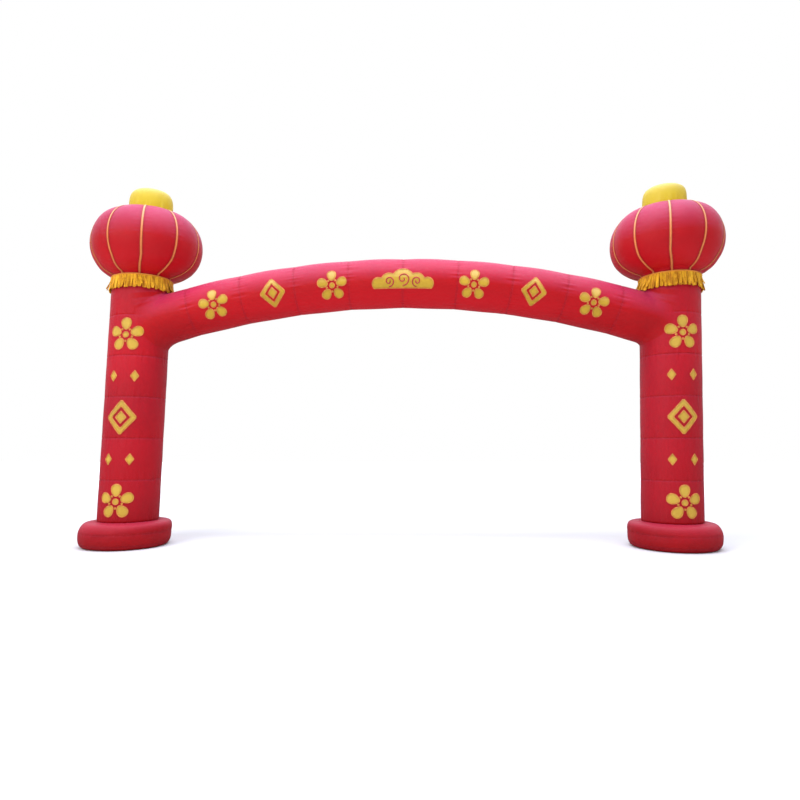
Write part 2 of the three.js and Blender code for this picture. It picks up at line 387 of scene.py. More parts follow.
def new_growth(name: str, sockets: dict[str, str]) -> tuple[bpy.types.NodeTree, Any]:
    """Starts a geometry tree with named inputs.

    Args:
        name: the tree's name.
        sockets: the kind of each input after the geometry, by its name.

    Returns:
        The tree and its input node.
    """
    tree = bpy.data.node_groups.new(name, "GeometryNodeTree")
    tree.interface.new_socket("Geometry", in_out="INPUT", socket_type="NodeSocketGeometry")
    for label, kind in sockets.items():
        tree.interface.new_socket(label, in_out="INPUT", socket_type=f"NodeSocket{kind}")
    tree.interface.new_socket("Geometry", in_out="OUTPUT", socket_type="NodeSocketGeometry")
    return tree, add_node(tree, "NodeGroupInput")


def end_growth(tree: bpy.types.NodeTree, geometry: Any, material: Any) -> bpy.types.NodeTree:
    """Ends a geometry tree: real, smooth faces in one material.

    Args:
        tree: the tree.
        geometry: the socket of what it has made.
        material: the socket of its material.

    Returns:
        The tree.
    """
    real = add_node(tree, "GeometryNodeRealizeInstances", {"Geometry": geometry})
    smooth = add_node(tree, "GeometryNodeSetShadeSmooth", {"Geometry": real.outputs[0]})
    dressed = add_node(tree, "GeometryNodeSetMaterial", {"Geometry": smooth.outputs[0], "Material": material})
    add_node(tree, "NodeGroupOutput", {"Geometry": dressed.outputs[0]})
    return tree


def grown(name: str, base: bpy.types.Object, tree: bpy.types.NodeTree, **sizes: Any) -> bpy.types.Object:
    """Runs a geometry tree on its guide and keeps the result as a plain mesh.

    Args:
        name: the piece's name.
        base: the guide, which is used up.
        tree: the tree.
        sizes: a value for each named input.

    Returns:
        The piece.
    """
    modifier = base.modifiers.new(tree.name, "NODES")
    modifier.node_group = tree
    for item in tree.interface.items_tree:
        if item.in_out == "INPUT" and item.name in sizes:
            modifier[item.identifier] = sizes[item.name]
    evaluated = base.evaluated_get(bpy.context.evaluated_depsgraph_get())
    mesh = bpy.data.meshes.new_from_object(evaluated)
    base.modifiers.remove(modifier)
    bpy.data.objects.remove(base)
    return linked(name, mesh)


def stitch_tree() -> bpy.types.NodeTree:
    """A row of short threads along each guide line.

    Returns:
        The tree, whose inputs are the pitch and a stitch's length and thickness.
    """
    tree, given = new_growth(
        "row_of_stitches", {"Pitch": "Float", "Length": "Float", "Thread": "Float", "Material": "Material"}
    )
    size = add_node(
        tree,
        "ShaderNodeCombineXYZ",
        {"X": given.outputs["Thread"], "Y": given.outputs["Thread"], "Z": given.outputs["Length"]},
    )
    stitch = add_node(tree, "GeometryNodeMeshCube", {"Size": size.outputs[0]})
    line = add_node(tree, "GeometryNodeMeshToCurve", {"Mesh": given.outputs["Geometry"]})
    places = add_node(
        tree,
        "GeometryNodeCurveToPoints",
        {"Curve": line.outputs[0], "Length": given.outputs["Pitch"]},
        mode="LENGTH",
    )
    row = add_node(
        tree,
        "GeometryNodeInstanceOnPoints",
        {
            "Points": places.outputs["Points"],
            "Instance": stitch.outputs["Mesh"],
            "Rotation": places.outputs["Rotation"],
        },
    )
    return end_growth(tree, row.outputs[0], given.outputs["Material"])


def cord_tree() -> bpy.types.NodeTree:
    """A round cord laid along each guide line.

    Returns:
        The tree, whose inputs are the cord's radius and its number of sides.
    """
    tree, given = new_growth("laid_cord", {"Radius": "Float", "Sides": "Int", "Material": "Material"})
    line = add_node(tree, "GeometryNodeMeshToCurve", {"Mesh": given.outputs["Geometry"]})
    section = add_node(
        tree,
        "GeometryNodeCurvePrimitiveCircle",
        {"Resolution": given.outputs["Sides"], "Radius": given.outputs["Radius"]},
    )
    cord = add_node(
        tree,
        "GeometryNodeCurveToMesh",
        {"Curve": line.outputs[0], "Profile Curve": section.outputs[0], "Fill Caps": True},
    )
    return end_growth(tree, cord.outputs[0], given.outputs["Material"])


def strand_tree() -> bpy.types.NodeTree:
    """A hanging strand at each guide point, from there to where the point's attribute "tip" says.

    Returns:
        The tree, whose inputs are a strand's radius, curl, taper and number of points.
    """
    tree, given = new_growth(
        "hanging_strands",
        {"Thread": "Float", "Curl": "Float", "Taper": "Float", "Steps": "Int", "Material": "Material"},
    )
    points = add_node(tree, "GeometryNodeMeshToPoints", {"Mesh": given.outputs["Geometry"]})
    straight = add_node(tree, "GeometryNodeCurvePrimitiveLine", {"End": (0.0, 0.0, 0.0)})
    stepped = add_node(
        tree, "GeometryNodeResampleCurve", {"Curve": straight.outputs[0], "Count": given.outputs["Steps"]}
    )
    row = add_node(
        tree, "GeometryNodeInstanceOnPoints", {"Points": points.outputs[0], "Instance": stepped.outputs[0]}
    )
    real = add_node(tree, "GeometryNodeRealizeInstances", {"Geometry": row.outputs[0]})
    share = add_node(tree, "GeometryNodeSplineParameter")
    tip = add_node(tree, "GeometryNodeInputNamedAttribute", {"Name": "tip"}, data_type="FLOAT_VECTOR")
    part = add_node(tree, "ShaderNodeSeparateXYZ", {0: tip.outputs[0]})
    curled = add_node(
        tree, "ShaderNodeMath", {0: share.outputs["Factor"], 1: given.outputs["Curl"]}, operation="POWER"
    )
    gone = [
        add_node(tree, "ShaderNodeMath", {0: part.outputs[i], 1: by}, operation="MULTIPLY").outputs[0]
        for i, by in enumerate((curled.outputs[0], curled.outputs[0], share.outputs["Factor"]))
    ]
    offset = add_node(tree, "ShaderNodeCombineXYZ", {"X": gone[0], "Y": gone[1], "Z": gone[2]})
    hung = add_node(
        tree, "GeometryNodeSetPosition", {"Geometry": real.outputs[0], "Offset": offset.outputs[0]}
    )
    thin = add_node(
        tree, "ShaderNodeMath", {0: share.outputs["Factor"], 1: given.outputs["Taper"]}, operation="MULTIPLY"
    )
    width = add_node(tree, "ShaderNodeMath", {0: 1.0, 1: thin.outputs[0]}, operation="SUBTRACT")
    sized = add_node(
        tree, "GeometryNodeSetCurveRadius", {"Curve": hung.outputs[0], "Radius": width.outputs[0]}
    )
    section = add_node(
        tree, "GeometryNodeCurvePrimitiveCircle", {"Resolution": 3, "Radius": given.outputs["Thread"]}
    )
    strands = add_node(
        tree,
        "GeometryNodeCurveToMesh",
        {"Curve": sized.outputs[0], "Profile Curve": section.outputs[0], "Fill Caps": True},
    )
    return end_growth(tree, strands.outputs[0], given.outputs["Material"])


# ------------------ finishes


@dataclass(frozen=True)
class Cloth:
    """Woven nylon with a thin coat, as blown arches are sewn from: soft gloss, and a painted sky highlight
    that makes it paler where it faces up.
    """

    name: str
    colour: str
    deep: str  # in patches, along rows of stitches, and as painted shade
    faded: str  # a painted highlight of the sky, where it faces up
    roughness: float
    gloss: float  # of the coat, where 0.5 is a hard plastic's
    sheen: float
    sheen_tint: str
    fade: float  # share of the painted sky highlight on cloth that lies flat
    seams_and_painted_shade: float = 0.15  # share of the deep colour where the seam attribute marks it: darker rows of stitches, and painted shade by and along tapes
    painted_low_shade: float = 0.0  # share of the deep colour at the ground, as painted shade that darkens it towards the bottom
    painted_low_shade_up_to: float = 3.2
    patchy: float = 0.35  # largest share of the deep colour in a patch
    painted_glow: str = ""  # a painted glow on cloth that faces down, as if daylight came through it
    painted_glow_from: float = 0.0  # the height from which that painted glow begins
    painted_glow_over: float = 0.3  # the height over which its share grows
    uneven: float = 0.06  # of the roughness, both ways
    patch: float = 1 / 0.9  # metres across a patch
    mottle: float = 0.0625  # metres across the mottling in a patch
    slack: float = 0.2  # metres across the softest waves
    thread: float = 0.006  # a real one is 1 mm, and is drawn coarse enough to show close up

    def material(self) -> bpy.types.Material:
        """Makes the cloth's material, on Object coordinates and the piece's own UV map.

        Returns:
            The material.
        """
        material, tree, place = blank_material(self.name)
        mottling = add_node(
            tree,
            "ShaderNodeTexNoise",
            {"Vector": place.outputs["Object"], "Scale": 1 / self.mottle, "Detail": 3.0},
        )
        worn = add_node(
            tree,
            "ShaderNodeMapRange",
            {
                "Value": mottling.outputs["Fac"],
                "To Min": self.roughness - self.uneven,
                "To Max": self.roughness + self.uneven,
            },
        )
        shader = add_node(
            tree,
            "ShaderNodeBsdfPrincipled",
            {
                "Base Color": self.dyed(tree, place, mottling),
                "Roughness": worn.outputs[0],
                "IOR": 1.5,
                "Specular IOR Level": self.gloss,
                "Sheen Weight": self.sheen,
                "Sheen Roughness": 0.45,
                "Sheen Tint": linear(self.sheen_tint),
                "Normal": self.relief(tree, place),
            },
        )
        add_node(tree, "ShaderNodeOutputMaterial", {"Surface": shader.outputs[0]})
        return material

    def dyed(self, tree: bpy.types.NodeTree, place: Any, mottling: Any) -> Any:
        """Lays the cloth's other colours over its own, one after the other, among them painted highlight,
        shade and glow.

        Args:
            tree: the material's tree.
            place: its texture coordinates.
            mottling: its fine noise.

        Returns:
            The socket of the colour.
        """
        patches = add_node(
            tree,
            "ShaderNodeTexNoise",
            {"Vector": place.outputs["Object"], "Scale": 1 / self.patch, "Detail": 4.0},
        )
        blotched = add_node(
            tree, "ShaderNodeMix", {"Factor": 0.3, "A": patches.outputs["Fac"], "B": mottling.outputs["Fac"]}
        )
        facing = add_node(tree, "ShaderNodeNewGeometry")
        upward = add_node(tree, "ShaderNodeSeparateXYZ", {0: facing.outputs["Normal"]}).outputs["Z"]
        height = add_node(tree, "ShaderNodeSeparateXYZ", {0: place.outputs["Object"]}).outputs["Z"]
        seam = add_node(tree, "ShaderNodeAttribute", attribute_name="seam").outputs["Fac"]
        layers = [  # a colour, what its share follows, from where to where the share grows, and its most
            (self.deep, blotched.outputs[0], 0.4, 0.62, self.patchy),
            # painted sky highlight where the cloth faces up
            (self.faded, upward, -0.1, 1.0, self.fade),
            # darker rows of stitches, and painted shade by and along tapes
            (self.deep, seam, 0.0, 1.0, self.seams_and_painted_shade),
            # painted shade, darker towards the ground
            (self.deep, height, self.painted_low_shade_up_to, 0.0, self.painted_low_shade),
        ]
        # painted glow on cloth that faces down, growing from a given height up
        if self.painted_glow:
            under = add_node(tree, "ShaderNodeMapRange", {"Value": upward, "From Min": 0.1, "From Max": -0.7})
            painted_glow_at = (self.painted_glow_from, self.painted_glow_from + self.painted_glow_over)
            layers.insert(1, (self.painted_glow, height, *painted_glow_at, under.outputs[0]))
        colour = linear(self.colour)
        for tint, follows, start, full, most in layers:
            share = add_node(
                tree,
                "ShaderNodeMapRange",
                {"Value": follows, "From Min": start, "From Max": full, "To Max": most},
            )
            mix = {SHARE: share.outputs[0], FIRST: colour, SECOND: linear(tint)}
            colour = add_node(tree, "ShaderNodeMix", mix, data_type="RGBA").outputs[MIXED]
        return colour

    def relief(self, tree: bpy.types.NodeTree, place: Any) -> Any:
        """Makes soft waves where the cloth is slack, and the weave over them.

        Args:
            tree: the material's tree.
            place: its texture coordinates.

        Returns:
            The socket of the normal.
        """
        soft = add_node(
            tree,
            "ShaderNodeTexNoise",
            {"Vector": place.outputs["Object"], "Scale": 1 / self.slack, "Detail": 2.0, "Distortion": 0.6},
        )
        waves = add_node(
            tree, "ShaderNodeBump", {"Strength": 0.35, "Distance": 0.012, "Height": soft.outputs["Fac"]}
        )
        woven = {"Strength": 0.5, "Distance": 0.0012, "Height": self.weave(tree, place)}
        return add_node(tree, "ShaderNodeBump", {**woven, "Normal": waves.outputs[0]}).outputs[0]

    def weave(self, tree: bpy.types.NodeTree, place: Any) -> Any:
        """Makes a plain weave: warp over weft in one check, under it in the next.

        Args:
            tree: the material's tree.
            place: its texture coordinates.

        Returns:
            The socket of its height.
        """
        threads = add_node(
            tree,
            "ShaderNodeMapping",
            {"Vector": place.outputs["UV"], "Scale": (1 / self.thread, 1 / self.thread, 1.0)},
        )
        one_period = math.pi / 10  # the wave texture's own scale for one wave in each unit
        warp, weft = (
            add_node(
                tree,
                "ShaderNodeTexWave",
                {"Vector": threads.outputs[0], "Scale": one_period},
                bands_direction=way,
            )
            for way in ("X", "Y")
        )
        over = add_node(tree, "ShaderNodeTexChecker", {"Vector": threads.outputs[0], "Scale": 1.0})
        crossed = {"Factor": over.outputs["Fac"], "A": warp.outputs["Fac"], "B": weft.outputs["Fac"]}
        return add_node(tree, "ShaderNodeMix", crossed).outputs[0]


@dataclass(frozen=True)
class Yarn:
    """Spun viscose, as fringe, cord and sewing thread are: dull silk, lighter and darker by strand."""

    name: str
    colour: str
    deep: str
    roughness: float = 0.5
    sheen: float = 0.6
    strand: float = 0.00625  # metres across a fine streak, which is about one strand as drawn
    bundle: float = 1 / 24  # metres across a broad one
    drawn_out: float = 0.12  # how slowly both change along the yarn

    def material(self) -> bpy.types.Material:
        """Makes the yarn's material, streaked along its length.

        Returns:
            The material.
        """
        material, tree, place = blank_material(self.name)
        along = add_node(
            tree,
            "ShaderNodeMapping",
            {"Vector": place.outputs["Object"], "Scale": (1.0, 1.0, self.drawn_out)},
        )
        strands, bundles = (
            add_node(
                tree, "ShaderNodeTexNoise", {"Vector": along.outputs[0], "Scale": 1 / size, "Detail": detail}
            ).outputs["Fac"]
            for size, detail in ((self.strand, 2.0), (self.bundle, 1.0))
        )
        streaks = add_node(tree, "ShaderNodeMix", {"Factor": 0.55, "A": strands, "B": bundles})
        share = add_node(
            tree, "ShaderNodeMapRange", {"Value": streaks.outputs[0], "From Min": 0.4, "From Max": 0.62}
        )
        mix = {SHARE: share.outputs[0], FIRST: linear(self.colour), SECOND: linear(self.deep)}
        colour = add_node(tree, "ShaderNodeMix", mix, data_type="RGBA")
        twist = add_node(tree, "ShaderNodeBump", {"Strength": 0.4, "Distance": 0.001, "Height": strands})
        shader = add_node(
            tree,
            "ShaderNodeBsdfPrincipled",
            {
                "Base Color": colour.outputs[MIXED],
                "Roughness": self.roughness,
                "IOR": 1.47,
                "Specular IOR Level": 0.25,
                "Sheen Weight": self.sheen,
                "Sheen Roughness": 0.4,
                "Sheen Tint": linear(self.colour),
                "Normal": twist.outputs[0],
            },
        )
        add_node(tree, "ShaderNodeOutputMaterial", {"Surface": shader.outputs[0]})
        return material


# Nylon, plain woven and coated: an even soft gloss, a painted pink sky highlight where it faces up, painted
# shade that darkens it towards the ground, and a painted glow on its underside high up.
TOWER_CLOTH = Cloth(
    name="red_coated_nylon",
    colour="#AC060E",
    deep="#740810",
    faded="#BC4270",
    roughness=0.42,
    gloss=0.16,
    sheen=0.04,
    sheen_tint="#FF9AB8",
    fade=0.56,
    painted_low_shade=0.38,
    painted_glow="#B80814",
    painted_glow_from=3.66,
)
# The same nylon, pulled tight over the pillows: less painted sky highlight on top, and a darker line at each
# seam.
PILLOW_CLOTH = replace(TOWER_CLOTH, name="red_pillow_nylon", faded="#C63E5E", fade=0.52, seams_and_painted_shade=0.22)
# A thinner coated nylon, as lanterns are sewn from: a painted glow lightens its underside, a painted sky
# highlight its top, and painted shade darkens it beside the tapes.
LANTERN_CLOTH = Cloth(
    name="lantern_coated_nylon",
    colour="#A20610",
    deep="#720810",
    faded="#B44A80",
    roughness=0.4,
    gloss=0.18,
    sheen=0.04,
    sheen_tint="#FF9AB8",
    fade=0.55,
    seams_and_painted_shade=0.5,
    painted_glow="#B40812",
)
# Coated nylon in yellow: the same soft gloss, and a painted sky highlight that makes it nearly white where it
# lies flat.
GOLD_CLOTH = Cloth(
    name="yellow_coated_nylon",
    colour="#C0A608",
    deep="#AE8C08",
    faded="#CEC696",
    roughness=0.5,
    gloss=0.16,
    sheen=0.06,
    sheen_tint="#FFF0B0",
    fade=0.6,
)
# Nylon without a coat, cut into patches: a dull old gold, with a painted sky highlight where it faces up.
PATCH_CLOTH = Cloth(
    name="yellow_patch_nylon",
    colour="#C09A2A",
    deep="#90681C",
    faded="#ECD09C",
    roughness=0.5,
    gloss=0.2,
    sheen=0.1,
    sheen_tint="#FFE8A0",
    fade=0.7,
)
# Woven polyester tape: dull orange with painted shade in brown along its edges, a painted sky highlight on
# top, and a coarser weave than the cloth's.
SEAM_TAPE = Cloth(
    name="orange_woven_tape",
    colour="#DC8046",
    deep="#8A3814",
    faded="#ECC4A4",
    roughness=0.55,
    gloss=0.2,
    sheen=0.1,
    sheen_tint="#FFE0C8",
    fade=0.8,
    seams_and_painted_shade=0.85,
    thread=0.004,
)
# Woven polyester strap that heads the fringe: deeper gold than its strands, with a painted sky highlight
# where it faces up.
HEADER_TAPE = Cloth(
    name="golden_header_tape",
    colour="#E8962C",
    deep="#B46414",
    faded="#F6C478",
    roughness=0.55,
    gloss=0.2,
    sheen=0.1,
    sheen_tint="#FFE0A0",
    fade=0.6,
    seams_and_painted_shade=0.5,
    thread=0.005,
)
# Spun viscose, cut into a fringe: a dull silky gold, streaked with ochre.
FRINGE_YARN = Yarn("golden_fringe_yarn", "#FCC22A", "#B8720C", sheen=0.2)
# Polyester sewing thread: a little lighter than the cloth that it sews, with next to no gloss.
RED_THREAD = Yarn("red_thread", "#B82A40", "#981C30", sheen=0.1)
GOLD_THREAD = Yarn("orange_thread", "#D88C48", "#A8642C", sheen=0.1)


# ------------------ sewing


@dataclass(frozen=True)
class Gathers:
    """What a row of stitches does to blown cloth: a valley along it, and small gathers on both sides."""

    valley: float = 0.0035  # its depth, and how far from the row it runs out
    width: float = 0.012
    height: float = 0.003  # of a gather, how far from the row they run out, and from one to the next
    reach: float = 0.1
    pitch: float = 0.085

    def lift(self, away: np.ndarray, turn: np.ndarray, girth: float, seed: int) -> np.ndarray:
        """How far the cloth stands out near the stitches.

        Args:
            away: the distance from the row.
            turn: the angle along the row, in radians.
            girth: the length of a full turn of the row.
            seed: which row it is.

        Returns:
            The distance outwards.
        """
        folds = ripple(turn, girth / self.pitch, seed) * np.exp(-((away / self.reach) ** 2))
        return self.height * folds - self.valley * self.mark(away)

    def mark(self, away: np.ndarray) -> np.ndarray:
        """How near a point is to the stitches, from 0 to 1."""
        return np.exp(-((away / self.width) ** 2))


@dataclass(frozen=True)
class Crease:
    """A soft trough or ridge in the cloth, from one place on its flat pattern to another."""

    start: tuple[float, float]
    end: tuple[float, float]
    height: float
    width: float
    faded: float = 0.12  # how near its ends are to the feet of a half wave, as a share of that

    def lift(self, u: np.ndarray, v: np.ndarray) -> np.ndarray:
        """Works out how far the crease moves the cloth outwards.

        Args:
            u: places on the flat pattern, across.
            v: the same places, up.

        Returns:
            The distances.
        """
        way = np.subtract(self.end, self.start)
        share = ((u - self.start[0]) * way[0] + (v - self.start[1]) * way[1]) / (way @ way)
        held = np.clip(share, 0.0, 1.0)
        off = np.hypot(u - self.start[0] - held * way[0], v - self.start[1] - held * way[1])
        along = np.sin(math.pi * (self.faded + (1 - 2 * self.faded) * held))
        return self.height * np.exp(-((off / self.width) ** 2)) * along


@dataclass
class Workshop:
    """The node trees, cloths and threads that every sub-assembly is made with."""

    stitches: bpy.types.NodeTree = field(default_factory=stitch_tree)
    cords: bpy.types.NodeTree = field(default_factory=cord_tree)
    strands: bpy.types.NodeTree = field(default_factory=strand_tree)
    red_thread: bpy.types.Material = field(default_factory=RED_THREAD.material)
    gold_thread: bpy.types.Material = field(default_factory=GOLD_THREAD.material)
    tower_cloth: bpy.types.Material = field(default_factory=TOWER_CLOTH.material)
    pillow_cloth: bpy.types.Material = field(default_factory=PILLOW_CLOTH.material)
    lantern_cloth: bpy.types.Material = field(default_factory=LANTERN_CLOTH.material)
    gold_cloth: bpy.types.Material = field(default_factory=GOLD_CLOTH.material)
    patch_cloth: bpy.types.Material = field(default_factory=PATCH_CLOTH.material)
    seam_tape: bpy.types.Material = field(default_factory=SEAM_TAPE.material)
    header_tape: bpy.types.Material = field(default_factory=HEADER_TAPE.material)
    fringe_yarn: bpy.types.Material = field(default_factory=FRINGE_YARN.material)
    thread: float = 0.0026  # width of a stitch
    threaded: float = 0.7  # share of a row that is thread, and not the gap to the next stitch
    cord_sides: int = 8

    def sew(
        self,
        name: str,
        lines: Sequence[np.ndarray],
        look: bpy.types.Material,
        slot: str,
        closed: bool = True,
        pitch: float = 0.02,
    ) -> None:
        """Sews a row of stitches along each line.

        Args:
            name: the piece's name.
            lines: leaned points of each row.
            look: the thread's material.
            slot: the record's slot that the thread takes its finish from.
            closed: whether each row runs back to its start.
            pitch: from one stitch to the next.
        """
        sizes = {"Pitch": pitch, "Length": self.threaded * pitch, "Thread": self.thread}
        keep(grown(name, path_lines(name, lines, closed), self.stitches, **sizes, Material=look), slot)

    def lay_cord(
        self,
        name: str,
        lines: Sequence[np.ndarray],
        radius: float,
        look: bpy.types.Material,
        slot: str,
        nodes: Sequence[str] = (),
        closed: bool = True,
    ) -> None:
        """Lays a round cord along each line.

        Args:
            name: the piece's name.
            lines: leaned points of each cord's middle.
            radius: the cord's radius.
            look: the cord's material.
            slot: the record's slot that the cord takes its finish from.
            nodes: the nodes that the cords stand for.
            closed: whether each cord runs back to its start.
        """
        sizes = {"Radius": radius, "Sides": self.cord_sides}
        keep(grown(name, path_lines(name, lines, closed), self.cords, **sizes, Material=look), slot, *nodes)


# ------------------ base and column


@dataclass
class PillowBase:
    """A round pillow that stands flat on the ground and carries its column on a flat of its own."""

    side: Side
    shop: Workshop
    edge_across: float = 0.121  # half axes of the rounded edge
    edge_down: float = 0.203
    edge_power: float = 0.78  # of the edge's sine and cosine, where 1 is an ellipse and less is squarer
    crown: float = 0.004  # swell of the top, from its edge to the flat
    margin: float = 0.006  # of the flat, around the column
    drift: float = 0.029  # outwards, of the pillow's ground from under its column
    bottom_seam: float = 0.062  # height of the rows that join the bottom disc
    side_seam: float = 0.25  # height of the rows that join the top's roll to the side band
    row_off: float = 0.012  # from a seam to each of its two rows of stitches
    row_sunk: float = 0.001
    billow: float = 0.004  # slow unevenness all round, in about so many waves
    billows: int = 7
    held_down: float = 0.03  # height over which the ground keeps the cloth smooth
    seed: int = 20  # of its first wave
    sectors: int = 192
    edge_rings: int = 49
    top_rings: int = 12
    underside: Sequence[float] = (0.25, 0.5, 0.75)  # its rings, as shares of where the edge begins
    under_column: Sequence[float] = (0.97, 0.6)  # rings of the flat, as shares of its radius
    gathers: Gathers = Gathers(valley=0.006, height=0.006, reach=0.085, pitch=0.1)
    hem: Gathers = Gathers(valley=0.004, height=0.0025, reach=0.05, pitch=0.07)
    belt: Gathers = Gathers(valley=0.003, height=0.003, reach=0.045, pitch=0.06)

    def __post_init__(self) -> None:
        """Takes the pillow's place from the frame."""
        self.axis, column_radius, self.seat, _ = upright_axis(f"column_{self.side.word}")
        _, self.radius, _, _ = upright_axis(f"base_{self.side.word}")
        self.seat_radius = column_radius + self.margin

    def profile(self) -> np.ndarray:
        """Draws the pillow's outline, from its underside round its edge to its seat.

        Returns:
            Its points as [radius, height].
        """
        turned = np.linspace(-math.pi / 2, math.pi / 2, self.edge_rings)
        outward = np.abs(np.cos(turned)) ** self.edge_power
        upward = np.sign(turned) * np.abs(np.sin(turned)) ** self.edge_power
        edge = np.stack(
            [self.radius + self.edge_across * (outward - 1), self.edge_down * (1 + upward)], axis=1
        )
        inner, high = edge[-1]
        flat = np.array([[share * inner, 0.0] for share in self.underside])
        share = np.linspace(0, 1, self.top_rings + 1)[1:]
        rise = self.crown * np.sin(math.pi * share)
        top_radius = inner + (self.seat_radius - inner) * share
        top_height = high + (self.seat - high) * share + rise
        seat = np.array([[self.seat_radius * part, self.seat] for part in self.under_column])
        return np.concatenate([flat, edge, np.stack([top_radius, top_height], axis=1), seat])

    def build(self) -> None:
        """Builds the pillow, with the stitches of its side and bottom seams."""
        profile = self.profile()
        slope = unit(np.gradient(profile, axis=0))
        run = np.concatenate([[0], np.cumsum(np.linalg.norm(np.diff(profile, axis=0), axis=1))])
        azimuth = np.linspace(0, FULL_TURN, self.sectors, endpoint=False)[None, :]
        radius, height = profile[:, :1], profile[:, 1:]
        edge = slice(len(self.underside), len(self.underside) + self.edge_rings)
        seat_run = run[-1 - len(self.under_column)]
        hem_run, belt_run = np.interp([self.bottom_seam, self.side_seam], profile[edge, 1], run[edge])
        girth = FULL_TURN * self.radius
        seed = self.seed + self.side.value
        lift, seam = 0.0, 0.0
        seams = ((self.gathers, seat_run, 0), (self.hem, hem_run, 5), (self.belt, belt_run, 7))
        for gathers, spot, which in seams:
            away = (run - spot)[:, None]
            lift = lift + gathers.lift(away, azimuth, girth, seed + which)
            seam = seam + gathers.mark(away)
        billows = self.billow * ripple(azimuth, self.billows, seed + 9)
        lift = lift + billows * np.sin(math.pi * height / self.seat)
        lift = lift * smoothstep(height / self.held_down) * (run[:, None] <= seat_run)
        rings = self.place(radius + slope[:, 1:] * lift, azimuth, height - slope[:, :1] * lift)
        word, look = self.side.word, self.shop.pillow_cloth
        piece = kept_skin(f"pillow_base_{word}", rings, girth, seam, look, "tower_cloth", f"base_{word}")
        rows = []
        for spot in (seam_run + sign * self.row_off for seam_run in (hem_run, belt_run) for sign in (-1, 1)):
            at = [np.interp(spot, run[edge], profile[edge, i]) for i in (0, 1)]
            rows.append(leaned(self.place(at[0] - self.row_sunk, azimuth[0], np.full(self.sectors, at[1]))))
        self.shop.sew(f"base_stitches_{word}", rows, self.shop.red_thread, "tower_cloth")

    def place(self, radius: np.ndarray, azimuth: np.ndarray, height: np.ndarray) -> np.ndarray:
        """Upright points of the pillow, which has drifted outwards at its foot."""
        gone = smoothstep((height - self.seat) / (self.edge_down - self.seat))
        return round_axis(self.axis + self.side.value * self.drift * gone, radius, azimuth, height)


@dataclass
class Column:
    """A round column of stacked bands of cloth, held up by air."""

    side: Side
    shop: Workshop
    panels: int = 6
    seam_depth: float = 0.004
    seam_rest: float = 0.3  # share of the depth by which a band's middle stands out
    seed: int = 40  # of its first wave
    row_off: float = 0.01  # from a seam to each of its two rows of stitches
    row_lift: float = 0.0006
    sectors: int = 192
    ring_step: float = 0.02
    gathers: Gathers = Gathers(valley=0.003, height=0.0034, reach=0.09, pitch=0.08)
    foot_gathers: Gathers = Gathers(valley=0.004, height=0.0045, reach=0.16, pitch=0.09)
    creases: Sequence[Crease] = (  # pulled by the beam, from its upper inner corner
        Crease((0.62, 4.26), (0.05, 4.16), 0.006, 0.02),
        Crease((0.58, 4.2), (0.08, 4.07), -0.006, 0.02),
        Crease((0.5, 4.13), (0.1, 3.95), 0.005, 0.022),
    )

    def __post_init__(self) -> None:
        """Takes the column's place from the frame, and works out where its seams are."""
        self.axis, self.radius, self.foot, self.top = upright_axis(f"column_{self.side.word}")
        self.band = (self.top - self.foot) / self.panels
        self.seams = [self.foot + i * self.band for i in range(1, self.panels)]

    def cloth(self, azimuth: np.ndarray, height: np.ndarray, lift: float = 0.0) -> np.ndarray:
        """Upright points on the column's cloth.

        Args:
            azimuth: the angle from the front towards +X, in radians.
            height: the height.
            lift: how far the points stand off the cloth.

        Returns:
            The points, in the shape of the places and one more axis for xyz.
        """
        azimuth, height = np.broadcast_arrays(azimuth, height)
        return self.tube(azimuth, height, self.slack(azimuth, height) + lift)

    def tube(self, azimuth: np.ndarray, height: np.ndarray, lift: Numbers) -> np.ndarray:
        """Upright points that stand off a plain tube of the column's size."""
        return round_axis(self.axis, self.radius + lift, azimuth, height)

    def slack(self, azimuth: np.ndarray, height: np.ndarray) -> np.ndarray:
        """Works out how far the seams and creases move the cloth outwards from a plain tube.

        Args:
            azimuth: the angle from the front, in radians.
            height: the height above the ground.

        Returns:
            The distances.
        """
        girth = FULL_TURN * self.radius
        seed = self.seed + 3 * self.side.value
        along = (height - self.foot) / self.band
        stand = self.seam_depth * (self.seam_rest - 1 + np.abs(np.sin(math.pi * along)))
        for i, seam in enumerate(self.seams):
            stand = stand + self.gathers.lift(height - seam, azimuth, girth, seed + i)
        stand = stand + self.foot_gathers.lift(height - self.foot, azimuth, girth, seed + 11)
        for crease in self.creases:
            stand = stand + crease.lift(self.inward(azimuth) * self.radius, height)
        return stand

    def inward(self, azimuth: np.ndarray) -> np.ndarray:
        """The angle from the front towards the middle of the arch, from minus to plus a half turn."""
        return half_turned(-self.side.value * azimuth)

    def front(self, u: np.ndarray, v: np.ndarray, lift: float) -> np.ndarray:
        """Upright points at metres round the column from its front, and metres above the ground."""
        return self.cloth(u / self.radius, v, lift)

    def build(self) -> bpy.types.Object:
        """Builds the column, with the stitches of its seams.

        Returns:
            Its cloth.
        """
        azimuth = np.linspace(0, FULL_TURN, self.sectors, endpoint=False)
        height = stations(self.foot, self.top, self.ring_step, self.seams)
        rings = self.cloth(azimuth[None, :], height[:, None])
        seam = np.max([self.gathers.mark(height - seam) for seam in [*self.seams, self.foot]], axis=0)
        word, girth, look = self.side.word, FULL_TURN * self.radius, self.shop.tower_cloth
        name = f"column_cloth_{word}"
        piece = kept_skin(name, rings, girth, seam[:, None], look, "tower_cloth", f"column_{word}")
        rows = [
            leaned(self.cloth(azimuth, np.full(self.sectors, seam + sign * self.row_off), self.row_lift))
            for seam in self.seams[:-1]
            for sign in (-1, 1)
        ]
        self.shop.sew(f"column_stitches_{word}", rows, self.shop.red_thread, "tower_cloth")
        return piece


# ------------------ beam


